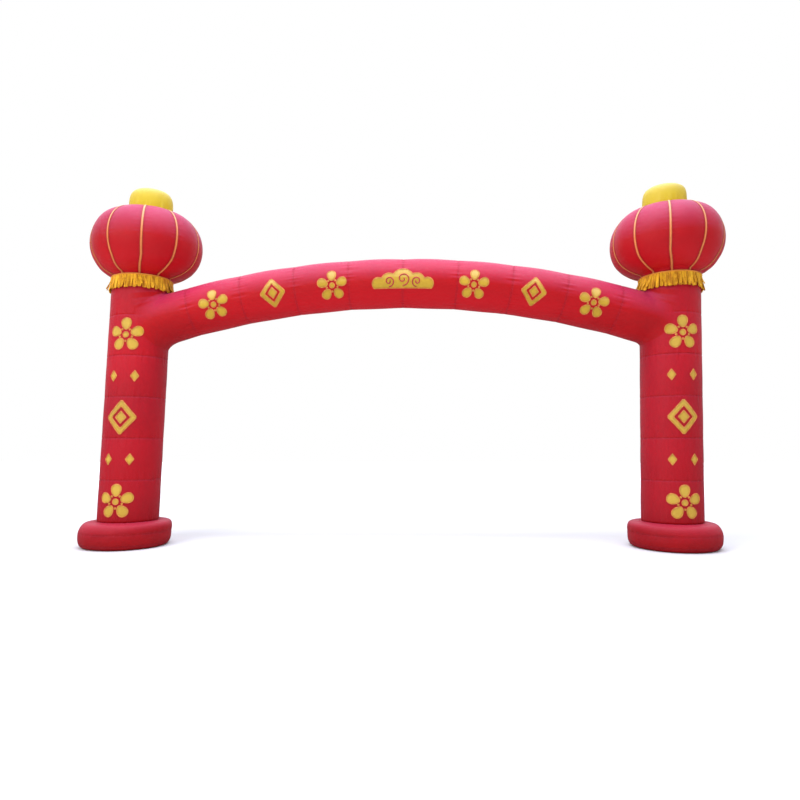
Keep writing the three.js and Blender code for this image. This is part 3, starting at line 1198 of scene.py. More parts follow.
@dataclass
class Beam:
    """The arched tube between the columns, whose ends widen softly into them."""

    columns: dict[Side, Column]
    shop: Workshop
    waist: float = 0.409  # radius at a ring seam
    bulge: float = 0.011
    crown_height: float = 4.423  # of the axis at mid-span
    rise: float = 0.763  # of the axis, from the column's axis to mid-span
    panel: float = 0.905
    panels_each_way: int = 4
    front_turn: float = math.pi / 2 + 0.2  # from the top to the line that faces out and a little down
    widens: tuple[float, float] = (0.05, 0.17)  # run of a flare along the tube, above and beside it
    spreads: tuple[float, float] = (0.03, 0.19)  # run of a flare over the column, above and beside
    sunk: float = 0.003  # where its widened ends run out under the column's cloth
    row_off: float = 0.011  # from a seam to each of its two rows of stitches
    row_lift: float = 0.0008
    seed: int = 70  # of its first wave
    rounds: int = 6  # of the search for where its cloth meets a column
    sectors: int = 160
    ring_step: float = 0.028
    end_rings: int = 16  # from the last seam to where the flare begins
    flare_rings: int = 18
    closing_rings: Sequence[float] = (0.98, 0.66, 0.33, 0.04)  # as shares of the flare's outline
    hold: float = 0.6  # how far a flare keeps the way of the tube and of the column, as a share of its run
    slack_from: float = 0.3  # share of a flare at which it starts to take on the column's slack
    slack_over: float = 0.5  # share of a flare over which it does
    gathers: Gathers = Gathers(valley=0.0026, width=0.02, height=0.0042, reach=0.12, pitch=0.085)

    def __post_init__(self) -> None:
        """Works out the arc of the beam's axis between the two columns."""
        left, right = self.columns[Side.LEFT], self.columns[Side.RIGHT]
        self.middle = (left.axis + right.axis) / 2
        self.half_span = (right.axis - left.axis) / 2
        self.arc = (self.half_span**2 + self.rise**2) / (2 * self.rise)
        self.seams = [self.panel * i for i in range(-self.panels_each_way, self.panels_each_way + 1)]

    def radius(self, along: np.ndarray, angle: np.ndarray) -> np.ndarray:
        """Works out the tube's radius at places on its cloth.

        Args:
            along: the distance along the axis from mid-span.
            angle: the angle from the top towards the front.

        Returns:
            The radii.
        """
        girth = FULL_TURN * self.waist
        radius = self.waist + self.bulge * np.abs(np.sin(math.pi * along / self.panel))
        for i, seam in enumerate(self.seams):
            radius = radius + self.gathers.lift(along - seam, angle, girth, self.seed + i)
        return radius

    def cloth(self, along: np.ndarray, angle: np.ndarray, lift: float = 0.0) -> np.ndarray:
        """Upright points on the tube's cloth.

        Args:
            along: the distance along the axis from mid-span, towards +X.
            angle: the angle from the top towards the front, in radians.
            lift: how far the points stand off the cloth.

        Returns:
            The points, in the shape of the places and one more axis for xyz.
        """
        along, angle = np.broadcast_arrays(along, angle)
        turn = along / self.arc
        radius = self.radius(along, angle) + lift
        reach = self.arc + radius * np.cos(angle)
        x = self.middle + reach * np.sin(turn)
        z = self.crown_height - self.arc + reach * np.cos(turn)
        return np.stack([x, -radius * np.sin(angle), z], axis=-1)

    def front(self, u: np.ndarray, v: np.ndarray, lift: float) -> np.ndarray:
        """Upright points at metres along the tube and metres up its front, from the line that faces out."""
        return self.cloth(u, self.front_turn - v / self.waist, lift)

    def top(self, x: np.ndarray, y: np.ndarray) -> np.ndarray:
        """Works out the height of the tube's upper cloth over places on the ground.

        Args:
            x: the places along X.
            y: the places along Y.

        Returns:
            The heights, and minus infinity where the tube isn't overhead.
        """
        radius = self.waist + self.bulge
        under = (np.abs(y) < radius) & (np.abs(x - self.middle) < self.half_span)
        turn = np.arcsin(np.clip((x - self.middle) / self.arc, -1, 1))
        axis = self.crown_height - self.arc * (1 - np.cos(turn))
        height = axis + np.sqrt(np.maximum(radius**2 - y**2, 0)) / np.cos(turn)
        return np.where(under, height, -math.inf)

    def wall(self, side: Side, angle: np.ndarray) -> np.ndarray:
        """Finds where each line of the tube's cloth meets the column.

        Args:
            side: the column.
            angle: the angles of the lines.

        Returns:
            The distances along the axis from mid-span.
        """
        column = self.columns[side]
        along = np.full_like(angle, side.value * self.half_span)
        for _ in range(self.rounds):
            radius = self.radius(along, angle)
            depth = np.sqrt(np.maximum(column.radius**2 - (radius * np.sin(angle)) ** 2, 0))
            x = column.axis - side.value * depth - self.middle
            along = self.arc * np.arcsin(x / (self.arc + radius * np.cos(angle)))
        return along

    def flare(self, side: Side, angle: np.ndarray) -> tuple[np.ndarray, np.ndarray]:
        """The soft widening of one end of the tube onto its column.

        Args:
            side: the end.
            angle: the angles of the tube's lines.

        Returns:
            Where on its axis each line leaves the tube, and the rings from there onto the column.
        """
        column, way = self.columns[side], side.value
        above, beside = np.maximum(np.cos(angle), 0) ** 2, np.sin(angle) ** 2
        below = np.maximum(-np.cos(angle), 0) ** 2
        before, beyond = (
            over * above + aside * beside + under * below
            for (over, aside), under in zip((self.widens, self.spreads), GUSSETS[side])
        )
        meets = self.wall(side, angle)
        leaves = meets - way * before
        start = self.cloth(leaves, angle)
        ahead = unit(self.cloth(leaves + way * NEARBY, angle) - start)
        corner = self.cloth(meets, angle)
        inner = -way * math.pi / 2
        axis_height = self.cloth(meets, np.zeros_like(angle))[:, 2].mean() - self.waist
        round_it = half_turned(np.arctan2(corner[:, 0] - column.axis, -corner[:, 1]) - inner)
        out = unit(np.stack([round_it * column.radius, corner[:, 2] - axis_height], axis=-1))
        round_way, upward = out[:, 0] / column.radius, out[:, 1]
        far_azimuth = inner + round_it + beyond * round_way
        far_height = corner[:, 2] + beyond * upward
        end, past = (
            column.tube(far_azimuth + step * round_way, far_height + step * upward, -self.sunk)
            for step in (0.0, NEARBY)
        )
        onward = unit(past - end)
        held, reached = (self.hold * run[:, None] for run in (before, beyond))
        holds = (start, start + held * ahead, end - reached * onward, end)
        rings = []
        for t in np.linspace(0, 1, self.flare_rings + 1)[1:]:
            weights = ((1 - t) ** 3, 3 * t * (1 - t) ** 2, 3 * t**2 * (1 - t), t**3)
            ring = sum(weight * hold for weight, hold in zip(weights, holds))
            turned = np.arctan2(ring[:, 0] - column.axis, -ring[:, 1])
            share = smoothstep((t - self.slack_from) / self.slack_over)
            shared = share * column.slack(turned, ring[:, 2])
            ring[:, :2] += shared[:, None] * np.stack([np.sin(turned), -np.cos(turned)], axis=-1)
            rings.append(ring)
        for shrink in self.closing_rings:
            turned = inner + (far_azimuth - inner) * shrink
            height = axis_height + (far_height - axis_height) * shrink
            rings.append(column.cloth(turned, height, -2 * self.sunk))
        return leaves, np.array(rings)

    def build(self) -> bpy.types.Object:
        """Builds the beam, with the stitches of its ring seams.

        Returns:
            Its cloth.
        """
        angle = np.linspace(0, FULL_TURN, self.sectors, endpoint=False)
        last = self.seams[-1]
        tube = [np.full_like(angle, u) for u in stations(-last, last, self.ring_step, self.seams)]
        ends = {side: self.flare(side, angle) for side in Side}
        for side, (leaves, _) in ends.items():
            seam_at = side.value * last
            shares = np.arange(1, self.end_rings + 1) / self.end_rings
            more = [seam_at + (leaves - seam_at) * share for share in shares]
            tube = more[::-1] + tube if side is Side.LEFT else tube + more
        middle = np.array([self.cloth(along, angle) for along in tube])
        lead = ends[Side.LEFT][1][::-1]
        rings = np.concatenate([lead, middle, ends[Side.RIGHT][1]])
        seam = np.zeros(rings.shape[:2])
        for i, along in enumerate(tube):
            seam[len(lead) + i] = np.max([self.gathers.mark(along - place) for place in self.seams], axis=0)
        look, girth = self.shop.tower_cloth, FULL_TURN * self.waist
        piece = kept_skin("arch_beam", rings[:, ::-1], girth, seam[:, ::-1], look, "tower_cloth", "beam")
        rows = [
            leaned(self.cloth(np.full_like(angle, place + sign * self.row_off), angle, self.row_lift))
            for place in self.seams
            for sign in (-1, 1)
        ]
        self.shop.sew("beam_stitches", rows, self.shop.red_thread, "tower_cloth")
        return piece


# ------------------ lantern


@dataclass
class Lantern:
    """An oblate balloon of ten gores, with a tape over each seam, a pillow cap and its cord."""

    side: Side
    shop: Workshop
    radius: float = 0.888  # at the taped seams
    lobe: float = 0.02  # swell of a gore between two seams
    centre: float = 5.101
    half_height: float = 0.593
    roundness: float = 0.568  # 1 would be an ellipse, and less is boxier
    low: float = -1.2  # first and last angle of the round meridian
    high: float = 1.32
    neck: float = 0.1  # what the angle runs on below it, down the neck
    neck_out: tuple[float, float] = (0.0, 0.07)  # the neck's slopes at its foot and at the round part
    neck_up: tuple[float, float] = (0.06, 0.022)
    crown_run: float = 1.2  # metres across the level crown for each unit of angle
    crown_rings: Sequence[float] = (0.004, 0.012, 0.05, 0.15, 0.3)  # angles past the last
    least: float = 0.01  # radius of a ring at the crown
    nod: float = 0.054  # inwards, over the height from the neck's foot
    nod_over: float = 0.28
    gores: int = 10
    gore_steps: int = 18
    round_rings: int = 84
    neck_rings: int = 7
    step: float = 1e-3  # of the angle, to find which way the cloth faces
    seed: int = 90  # of its gathers
    fold_turn: float = 1.7  # by which the gathers of two seams differ
    fold_from: float = 0.03  # beside a tape, over which the gathers begin
    fold_end: float = 0.2  # angle below the crown, over which they end
    gathers: Gathers = Gathers(valley=0.002, width=0.02, height=0.0035, reach=0.09, pitch=0.09)
    tape_width: float = 0.038
    tape_margin: float = 0.0006
    tape_shade: float = 0.035  # how far from a seam the painted shade beside its tape reaches
    tape_rings: int = 60
    tape_bare: float = 0.2  # share of the neck that it leaves bare, behind the fringe
    tape_end: Sequence[float] = (0.15, 0.45, 1.0)  # its last rings, as shares of the way up to the cord
    tape_section: Sequence[tuple[float, float, float]] = (  # share of half its width, lift, and share of painted shade along its edges
        (-1.0, 0.0005, 1.0),
        (-0.92, 0.003, 1.0),
        (-0.55, 0.0058, 0.25),
        (0.0, 0.0068, 0.0),
        (0.55, 0.0058, 0.25),
        (0.92, 0.003, 1.0),
        (1.0, 0.0005, 1.0),
        (0.5, -0.0004, 1.0),
        (-0.5, -0.0004, 1.0),
    )
    row_off: float = 0.36  # from the tape's middle to a row of stitches, as a share of its width
    row_lift: float = 0.0052
    row_pitch: float = 0.024
    cap_foot: float = 0.965  # shares of the cap's radius, at its foot and over its first rise
    cap_rise: float = 0.985
    cap_lip: float = 0.006  # height of that rise
    cap_squareness: float = 0.4
    cap_shift: float = 0.02  # inwards, from the lantern's own axis
    cap_billow: float = 0.004  # slow unevenness all round, and the most by which its cloth stands out
    cap_billows: int = 6
    cap_held: float = 0.05  # height over which the foot keeps its cloth smooth
    cap_seed: int = 60
    cap_rings: int = 43
    cap_sectors: int = 144
    cap_gathers: Gathers = Gathers(valley=0.0, width=0.03, height=0.007, reach=0.1, pitch=0.11)
    cord: float = 0.0105  # radius of the cord round the cap's foot
    cord_out: float = 0.0035  # of its middle, past the cap's radius

    def __post_init__(self) -> None:
        """Takes the lantern's and the cap's places from the frame."""
        self.axis, self.column_radius, _, top = upright_axis(f"column_{self.side.word}")
        self.foot = top + GAP
        _, self.cap_radius, self.cap_seat, self.cap_top = upright_axis(f"cap_{self.side.word}")

    def meridian(self, turn: np.ndarray) -> tuple[np.ndarray, np.ndarray]:
        """Draws the lantern's outline along a seam.

        Args:
            turn: angles from the foot of the neck to the crown.

        Returns:
            The radii and the heights.
        """
        belly = np.clip(turn, self.low, self.high)
        radius = self.radius * np.cos(belly) ** self.roundness
        height = self.centre + self.half_height * np.sin(belly)
        radius = np.maximum(radius - self.crown_run * np.maximum(turn - self.high, 0), self.least)
        s = np.clip((turn - self.low) / self.neck + 1, 0, 1)
        foot = (self.column_radius - self.lobe, self.foot)
        neck = []
        for place, end, slopes in zip(foot, (radius, height), (self.neck_out, self.neck_up)):
            curve = place + (end - place) * smoothstep(s)
            curve = curve + slopes[0] * s * (1 - s) ** 2 - slopes[1] * s * s * (1 - s)
            neck.append(np.where(turn < self.low, curve, end))
        return neck[0], neck[1]

    def cloth(self, azimuth: np.ndarray, turn: np.ndarray, lift: float = 0.0) -> np.ndarray:
        """Upright points on the balloon's cloth.

        Args:
            azimuth: the angle from the front towards +X, in radians.
            turn: the angle along the meridian.
            lift: how far the points stand off the cloth.

        Returns:
            The points, in the shape of the places and one more axis for xyz.
        """
        azimuth, turn, lift = np.broadcast_arrays(azimuth, turn, lift)
        radius, height = self.meridian(turn)
        after, before = (np.stack(self.meridian(turn + step), axis=-1) for step in (self.step, -self.step))
        way = unit(after - before)
        pitch = FULL_TURN / self.gores
        across = (azimuth / pitch - 0.5) % 1
        flat = np.arcsin(np.minimum((self.tape_width / 2 + self.tape_margin) / radius, 1))
        share = np.clip((across * pitch - flat) / (pitch - 2 * flat), 0, 1)
        swell = self.lobe * radius / self.radius * np.sin(math.pi * share)
        away = np.minimum(across, 1 - across) * pitch * radius
        seam = np.round(azimuth / pitch - 0.5)
        folds = self.gathers.lift(away, turn + self.fold_turn * seam, FULL_TURN, self.seed + self.side.value)
        folds = folds * smoothstep((away - self.tape_width / 2) / self.fold_from)
        stand = lift + folds * smoothstep((self.high - turn) / self.fold_end)
        nodded = self.side.value * self.nod * smoothstep((height - self.foot) / self.nod_over)
        out_radius = radius + swell + stand * way[..., 1]
        return round_axis(self.axis - nodded, out_radius, azimuth, height - stand * way[..., 0])

    def turns(self, steps: int, bare: float = 0.0) -> np.ndarray:
        """Angles along the meridian, from the neck to the crown.

        Args:
            steps: how many there are on the round part.
            bare: the share of the neck that is left out at the bottom.

        Returns:
            The angles.
        """
        neck = np.linspace(self.low - self.neck * (1 - bare), self.low, self.neck_rings + 1)[:-1]
        return np.concatenate([neck, np.linspace(self.low, self.high, steps)])

    def tape_turns(self, gore: int) -> np.ndarray:
        """Spaces one tape's points, from behind the collar to the cord of the cap.

        Args:
            gore: which seam it is.

        Returns:
            Their angles along the meridian.
        """
        cap_edge = self.cap_radius - self.side.value * self.cap_shift * math.sin(self.seam_azimuth(gore))
        tucked = (self.meridian(np.array(self.high))[0] - cap_edge) / self.crown_run
        over_crown = self.high + tucked * np.array(self.tape_end)
        return np.append(self.turns(self.tape_rings, self.tape_bare), over_crown)

    def seam_azimuth(self, gore: int) -> float:
        """The azimuth of the seam after a gore."""
        return FULL_TURN * (gore + 0.5) / self.gores

    def build(self) -> None:
        """Builds the balloon, its tapes and their stitches, and the cap with its cord."""
        word, shop = self.side.word, self.shop
        azimuth = np.linspace(0, FULL_TURN, self.gores * self.gore_steps, endpoint=False)[None, :]
        turn = np.concatenate([self.turns(self.round_rings), self.high + np.array(self.crown_rings)])[:, None]
        rings = self.cloth(azimuth, turn)
        # Painted shade on the cloth beside each tape, darkest at the seam, carried in the seam attribute.
        off_seam = np.abs((azimuth * self.gores / FULL_TURN) % 1 - 0.5) * FULL_TURN / self.gores
        shaded = np.exp(-((off_seam * self.meridian(turn)[0] / self.tape_shade) ** 2))
        name, girth = f"lantern_balloon_{word}", FULL_TURN * self.radius
        kept_skin(name, rings, girth, shaded, shop.lantern_cloth, "lantern_cloth", f"lantern_{word}")
        rows = []
        for gore in range(self.gores):
            self.build_tape(gore)
            turn = self.tape_turns(gore)[:-1]
            for sign in (-1, 1):
                off = sign * self.row_off * self.tape_width / self.meridian(turn)[0]
                rows.append(leaned(self.cloth(self.seam_azimuth(gore) + off, turn, self.row_lift)))
        name, look = f"tape_stitches_{word}", shop.gold_thread
        shop.sew(name, rows, look, "seam_tape", closed=False, pitch=self.row_pitch)
        self.build_cap()

    def build_tape(self, gore: int) -> None:
        """Builds the slightly domed tape over one seam.

        Args:
            gore: which seam it is.
        """
        # The tape's edges carry painted shade through the seam attribute.
        across, lift, edge = np.array(self.tape_section).T
        turn = self.tape_turns(gore)
        wide = self.tape_width / 2 / self.meridian(turn)[0]
        rings = self.cloth(self.seam_azimuth(gore) + wide[:, None] * across, turn[:, None], lift[None, :])
        place, girth, look = f"{self.side.word}_{gore + 1}", 2 * self.tape_width, self.shop.seam_tape
        kept_skin(f"lantern_tape_{place}", rings, girth, edge, look, "seam_tape", f"seam_tape_{place}")

    def build_cap(self) -> None:
        """Builds the pillow cap on the crown, and the cord round its foot."""
        word, shop, radius = self.side.word, self.shop, self.cap_radius
        tall = self.cap_top - self.cap_seat
        axis = self.axis - self.side.value * (self.nod + self.cap_shift)
        turned = math.pi / 4 * (1 - np.cos(np.linspace(0, math.pi, self.cap_rings + 2)))[1:-1]
        narrowed, raised = (way(turned) ** self.cap_squareness for way in (np.cos, np.sin))
        wide = radius * np.append([self.cap_foot, self.cap_rise], narrowed)[:, None]
        up = np.append([0, self.cap_lip], tall * raised)[:, None]
        azimuth = np.linspace(0, FULL_TURN, self.cap_sectors, endpoint=False)[None, :]
        seed = self.cap_seed + self.side.value
        lift = self.cap_gathers.lift(up, azimuth, FULL_TURN * radius, seed) * smoothstep(up / self.cap_held)
        billows = self.cap_billow * ripple(azimuth, self.cap_billows, seed + 4)
        lift = lift + billows * np.sin(math.pi * up / tall)
        rings = round_axis(axis, wide + np.minimum(lift, self.cap_billow), azimuth, self.cap_seat + up)
        name, girth, seam = f"pillow_cap_{word}", FULL_TURN * radius, self.cap_gathers.mark(up)
        piece = kept_skin(name, rings, girth, seam, shop.gold_cloth, "gold_cloth", f"cap_{word}")
        ring = leaned(round_axis(axis, radius + self.cord_out, azimuth[0], self.cap_seat + self.cord))
        node = f"cap_piping_{word}"
        shop.lay_cord(f"cap_cord_{word}", [ring], self.cord, shop.seam_tape, "seam_tape", [node])


# ------------------ fringed collar


@dataclass
class FringedCollar:
    """A header tape round the top of a column, with two rows of strands that hang from it in locks."""

    column: Column
    beam: Beam
    header: float = 0.026  # height of the tape
    thickness: float = 0.017
    stand_off: float = 0.004  # from the column's plain tube
    header_section: Sequence[tuple[float, float, float]] = (  # shares of its thickness, height and edge
        (0.0, 0.0, 1.0),
        (0.7, 0.0, 1.0),
        (0.95, 0.2, 0.5),
        (1.0, 0.5, 0.0),
        (0.95, 0.8, 0.5),
        (0.7, 1.0, 1.0),
        (0.0, 1.0, 1.0),
    )
    pucker: float = 0.0015  # of the tape in and out, in about so many waves
    puckers: int = 40
    wander: float = 0.002  # of the tape up and down
    wanders: int = 9
    row_lift: float = 0.001  # of the stitches on the tape
    row_pitch: float = 0.018
    sectors: int = 180
    strands: int = 1200  # in each row
    rows: Sequence[float] = (0.005, 0.012)  # how far each row stands off the column
    tucked: float = 0.008  # length of a strand that is behind the tape
    lock: int = 26  # strands that hang together
    flare: float = 0.022  # outwards, down to the tips
    flare_by_lock: float = 0.7  # shares by which it differs
    flare_by_strand: float = 0.15
    closing: float = 0.24  # share of its width by which a lock draws together, and by which that differs
    sway: float = 0.01  # of a lock to either side
    stray: float = 0.003  # of a strand in its lock
    uneven: float = 0.011  # of the tips, lock by lock
    ragged: float = 0.007  # of the tips in a lock
    rounded: float = 0.03  # of the tips towards a lock's sides
    swept: float = 0.14  # share of the locks that are swept to a side, outwards, together and up
    swept_aside: float = 0.03
    swept_out: float = 0.02
    swept_closing: float = 0.2
    swept_up: float = 0.045
    gap_from: float = 0.42  # from a lock's middle, as a share of its width, where it may have a gap
    gap_pull: float = 0.35  # how far from the usual a lock must draw together to have one
    clear: float = 0.012  # of the tips over the beam
    thread: float = 0.0029  # radius, of yarn that is really half as thick
    curl: float = 1.6
    taper: float = 0.3
    bends: int = 6  # points along a strand
    seed: int = 300

    def __post_init__(self) -> None:
        """Sets the height of the tape, and how low its strands hang."""
        self.high, self.tips = COLLARS[self.column.side]
        self.low = self.high - self.header
        self.rng = np.random.default_rng(self.seed + self.column.side.value)

    def build(self) -> None:
        """Builds the header tape and the strands."""
        word, shop, axis = self.column.side.word, self.column.shop, self.column.axis
        azimuth = np.linspace(0, FULL_TURN, self.sectors, endpoint=False)[None, :]
        inside = self.column.radius + self.stand_off
        across, up, edge = np.array(self.header_section).T[:, :, None]
        radius = inside + (self.thickness + self.pucker * ripple(azimuth, self.puckers, 7)) * across
        height = self.low + self.header * up + self.wander * ripple(azimuth, self.wanders, 8)
        rings = round_axis(axis, radius, azimuth, height)
        name, girth, node = f"fringe_header_{word}", FULL_TURN * inside, f"fringe_{word}"
        kept_skin(name, rings, girth, edge, shop.header_tape, "fringe_yarn", node)
        outside = inside + self.thickness + self.row_lift
        row = leaned(round_axis(axis, outside, azimuth[0], self.low + self.header / 2))
        name, look = f"fringe_stitches_{word}", shop.gold_thread
        shop.sew(name, [row], look, "fringe_yarn", pitch=self.row_pitch)
        roots, tips = (np.concatenate(part) for part in zip(*(self.hang(stand) for stand in self.rows)))
        mesh = bpy.data.meshes.new("strand_roots")
        mesh.from_pydata(leaned(roots).tolist(), [], [])
        tip = mesh.attributes.new("tip", "FLOAT_VECTOR", "POINT")
        tip.data.foreach_set("vector", tips.ravel())
        sizes = {"Thread": self.thread, "Curl": self.curl, "Taper": self.taper, "Steps": self.bends}
        guide = linked("strand_roots", mesh)
        strands = grown(f"fringe_strands_{word}", guide, shop.strands, **sizes, Material=shop.fringe_yarn)
        keep(strands, "fringe_yarn", node)

    def hang(self, stand: float) -> tuple[np.ndarray, np.ndarray]:
        """Hangs one row of strands in locks, with gaps where locks have drawn apart.

        Args:
            stand: how far the row stands off the column.

        Returns:
            The root of each strand, and the way from there to its tip, which clears the beam.
        """
        rng, count = self.rng, self.strands
        azimuth = FULL_TURN * (np.arange(count) + rng.uniform(0, 0.5)) / count
        lock = np.arange(count) // self.lock
        place = (np.arange(count) % self.lock + 0.5) / self.lock - 0.5
        locks = lock[-1] + 1
        flare, sway, length, pull = (rng.uniform(-1, 1, locks)[lock] for _ in range(4))
        swept = (rng.uniform(0, 1, locks) < self.swept)[lock]
        jitter = rng.uniform(-1, 1, (3, count))
        radius = self.column.radius + self.stand_off + stand
        out = self.flare * (1 + self.flare_by_lock * flare + self.flare_by_strand * jitter[0])
        out = out + stand + self.swept_out * swept
        lock_width = self.lock * FULL_TURN * radius / count
        aside = -place * lock_width * (self.closing * (1 + pull) + self.swept_closing * swept)
        aside = aside + self.sway * sway + self.swept_aside * swept * np.sign(sway) + self.stray * jitter[1]
        low = self.tips + self.uneven * length + self.ragged * jitter[2] + self.rounded * place**2
        low = low + self.swept_up * swept
        root_height = self.low + self.tucked
        root = round_axis(self.column.axis, radius, azimuth, root_height)
        outward = np.stack([np.sin(azimuth), -np.cos(azimuth)], axis=-1)
        sideways = np.stack([np.cos(azimuth), np.sin(azimuth)], axis=-1)
        flat = outward * out[:, None] + sideways * aside[:, None]
        end = root[:, :2] + flat
        resting = self.beam.top(end[:, 0], end[:, 1]) + self.clear
        drop = np.maximum(low, resting) - root_height
        way = np.concatenate([flat + LEAN * drop[:, None] * [1, 0], drop[:, None]], axis=-1)
        parted = (np.abs(place) > self.gap_from) & (np.abs(pull) > self.gap_pull)
        return root[~parted], way[~parted]


# ------------------ sewn-on figures


@dataclass
class Patch:
    """A flat piece of cloth: its corner points, its faces, and the closed outlines of its edges."""

    points: np.ndarray
    faces: list[list[int]]
    outlines: list[Outline]


def plain_patch(outline: Outline) -> Patch:
    """A patch with one outline and no hole."""
    return Patch(outline, [list(range(len(outline)))], [outline])


def oval(
    centre: tuple[float, float], radius: float, count: int = 28, narrow: float = 0.0, turn: float = 0.0
) -> Outline:
    """A round outline, or an egg that points back towards the origin.

    Args:
        centre: its middle.
        radius: its half length.
        count: how many points it has.
        narrow: how much slimmer the end towards the origin is, from 0 to 1.
        turn: the direction of its blunt end, in radians.

    Returns:
        The outline, anticlockwise.
    """
    t = np.linspace(0, FULL_TURN, count, endpoint=False)
    u = radius * np.cos(t)
    v = radius * np.sin(t) * (1 - narrow * (1 - np.cos(t)) / 2)
    ahead, aside = math.cos(turn), math.sin(turn)
    return np.stack([centre[0] + u * ahead - v * aside, centre[1] + u * aside + v * ahead], axis=-1)


class Figure(Enum):
    """The traditional figures that are cut from yellow cloth."""

    BLOSSOM = "blossom"
    LOZENGE = "lozenge"
    PAIR = "pair of small lozenges"
    CLOUD = "cloud"

    def patches(self, size: float) -> list[Patch]:
        """Draws the figure's patches round the origin.

        Args:
            size: its height or, for the cloud, its width.

        Returns:
            The patches.
        """
        if self is Figure.BLOSSOM:
            return blossom(size)
        if self is Figure.LOZENGE:
            return lozenge(size)
        if self is Figure.PAIR:
            small = diamond(0.3 * size, 0.42 * size)
            return [plain_patch(small + [sign * 0.4 * size, 0]) for sign in (-1, 1)]
        return [cloud(size)]

    def swirls(self, size: float) -> list[np.ndarray]:
        """Draws the lines of cord that are laid on the figure.

        Args:
            size: as for its patches.

        Returns:
            The lines.
        """
        if self is not Figure.CLOUD:
            return []
        places = ((-0.225, 0.035, 0.085, 1), (0.0, 0.075, 0.11, 1), (0.225, 0.035, 0.085, -1))
        return [swirl((x * size, y * size), radius * size, way) for x, y, radius, way in places]


def blossom(size: float) -> list[Patch]:
    """Draws five petals round an eye, with a small dot in each gap.

    Args:
        size: its height.

    Returns:
        Its patches.
    """
    petal, petal_at, dot, dot_at, eye = (share * size for share in (0.174, 0.326, 0.024, 0.19, 0.085))
    patches = []
    for i in range(5):
        turn = math.pi / 2 + FULL_TURN * i / 5
        between = turn + math.pi / 5
        middle = (petal_at * math.cos(turn), petal_at * math.sin(turn))
        gap = (dot_at * math.cos(between), dot_at * math.sin(between))
        patches.append(plain_patch(oval(middle, petal, count=30, narrow=0.35, turn=turn)))
        patches.append(plain_patch(oval(gap, dot, count=12)))
    return [*patches, plain_patch(oval((0, 0), eye))]


def diamond(width: float, height: float) -> Outline:
    """Draws a lozenge with slightly cut corners.

    Args:
        width: from corner to corner across.
        height: from corner to corner up.

    Returns:
        Its outline.
    """
    corners = np.array([(width / 2, 0), (0, height / 2), (-width / 2, 0), (0, -height / 2)])
    cut = 0.06  # share of a side
    beside = np.stack([np.roll(corners, 1, axis=0), np.roll(corners, -1, axis=0)], axis=1)
    return (corners[:, None] + cut * (beside - corners[:, None])).reshape(-1, 2)


def lozenge(size: float) -> list[Patch]:
    """Draws a lozenge frame round a small full lozenge.

    Args:
        size: its height.

    Returns:
        Its patches.
    """
    width, hole, core = 0.86 * size, 0.62, 0.36
    outer, inner = diamond(width, size), diamond(hole * width, hole * size)
    count = len(outer)
    faces = [[i, (i + 1) % count, count + (i + 1) % count, count + i] for i in range(count)]
    frame = Patch(np.concatenate([outer, inner]), faces, [outer, inner[::-1]])
    return [frame, plain_patch(diamond(core * width, core * size))]


def cloud(size: float) -> Patch:
    """Draws a cloud with five round crests over a level foot.

    Args:
        size: its width.

    Returns:
        Its patch.
    """
    crests = ((-0.4, 0.0, 0.1), (-0.22, 0.03, 0.14), (0.0, 0.07, 0.175), (0.22, 0.03, 0.14), (0.4, 0.0, 0.1))
    foot = -0.075
    x = -0.5 * np.cos(np.linspace(0, math.pi, 90))
    above, below = np.full_like(x, -1.0), np.full_like(x, 1.0)
    for centre, height, radius in crests:
        rise = radius**2 - (x - centre) ** 2
        inside = rise >= -1e-9
        half = np.sqrt(np.maximum(rise, 0))
        above = np.where(inside, np.maximum(above, height + half), above)
        below = np.where(inside, np.minimum(below, height - half), below)
    below = np.where(np.abs(x) < crests[-1][0], foot, np.maximum(below, foot))
    lower, upper = (np.stack([x, edge], axis=-1) for edge in (below, above))
    return plain_patch(size * np.concatenate([lower, upper[-2:0:-1]]))


def swirl(centre: tuple[float, float], radius: float, way: int) -> np.ndarray:
    """Draws an open spiral line that winds in to its middle.

    Args:
        centre: its middle.
        radius: its outer radius.
        way: 1 anticlockwise, -1 clockwise.

    Returns:
        Its points.
    """
    turns, wound_in = 1.35, 0.86
    t = np.linspace(0, 1, 60)
    turn = way * FULL_TURN * turns * t - math.pi / 2
    reach = radius * (1 - wound_in * t)
    return np.stack([centre[0] + reach * np.cos(turn), centre[1] + reach * np.sin(turn)], axis=-1)


def inset(outline: Outline, distance: float) -> Outline:
    """An anticlockwise outline moved inwards by a distance, or outwards where that is negative."""
    along = unit(np.roll(outline, -1, axis=0) - np.roll(outline, 1, axis=0))
    return outline + distance * np.stack([-along[:, 1], along[:, 0]], axis=-1)


def filled_in(outline: Outline, step: float) -> Outline:
    """Adds points on a closed outline's straight stretches.

    Args:
        outline: the outline.
        step: about how far apart they are.

    Returns:
        The new outline.
    """
    points = []
    for here, there in zip(outline, np.roll(outline, -1, axis=0)):
        count = max(1, round(float(np.linalg.norm(there - here)) / step))
        points += [here + (there - here) * i / count for i in range(count)]
    return np.array(points)


@dataclass(frozen=True)
class Sewn:
    """One figure and its place on the flat pattern of what it is sewn to."""

    figure: Figure
    size: float
    at: tuple[float, float]


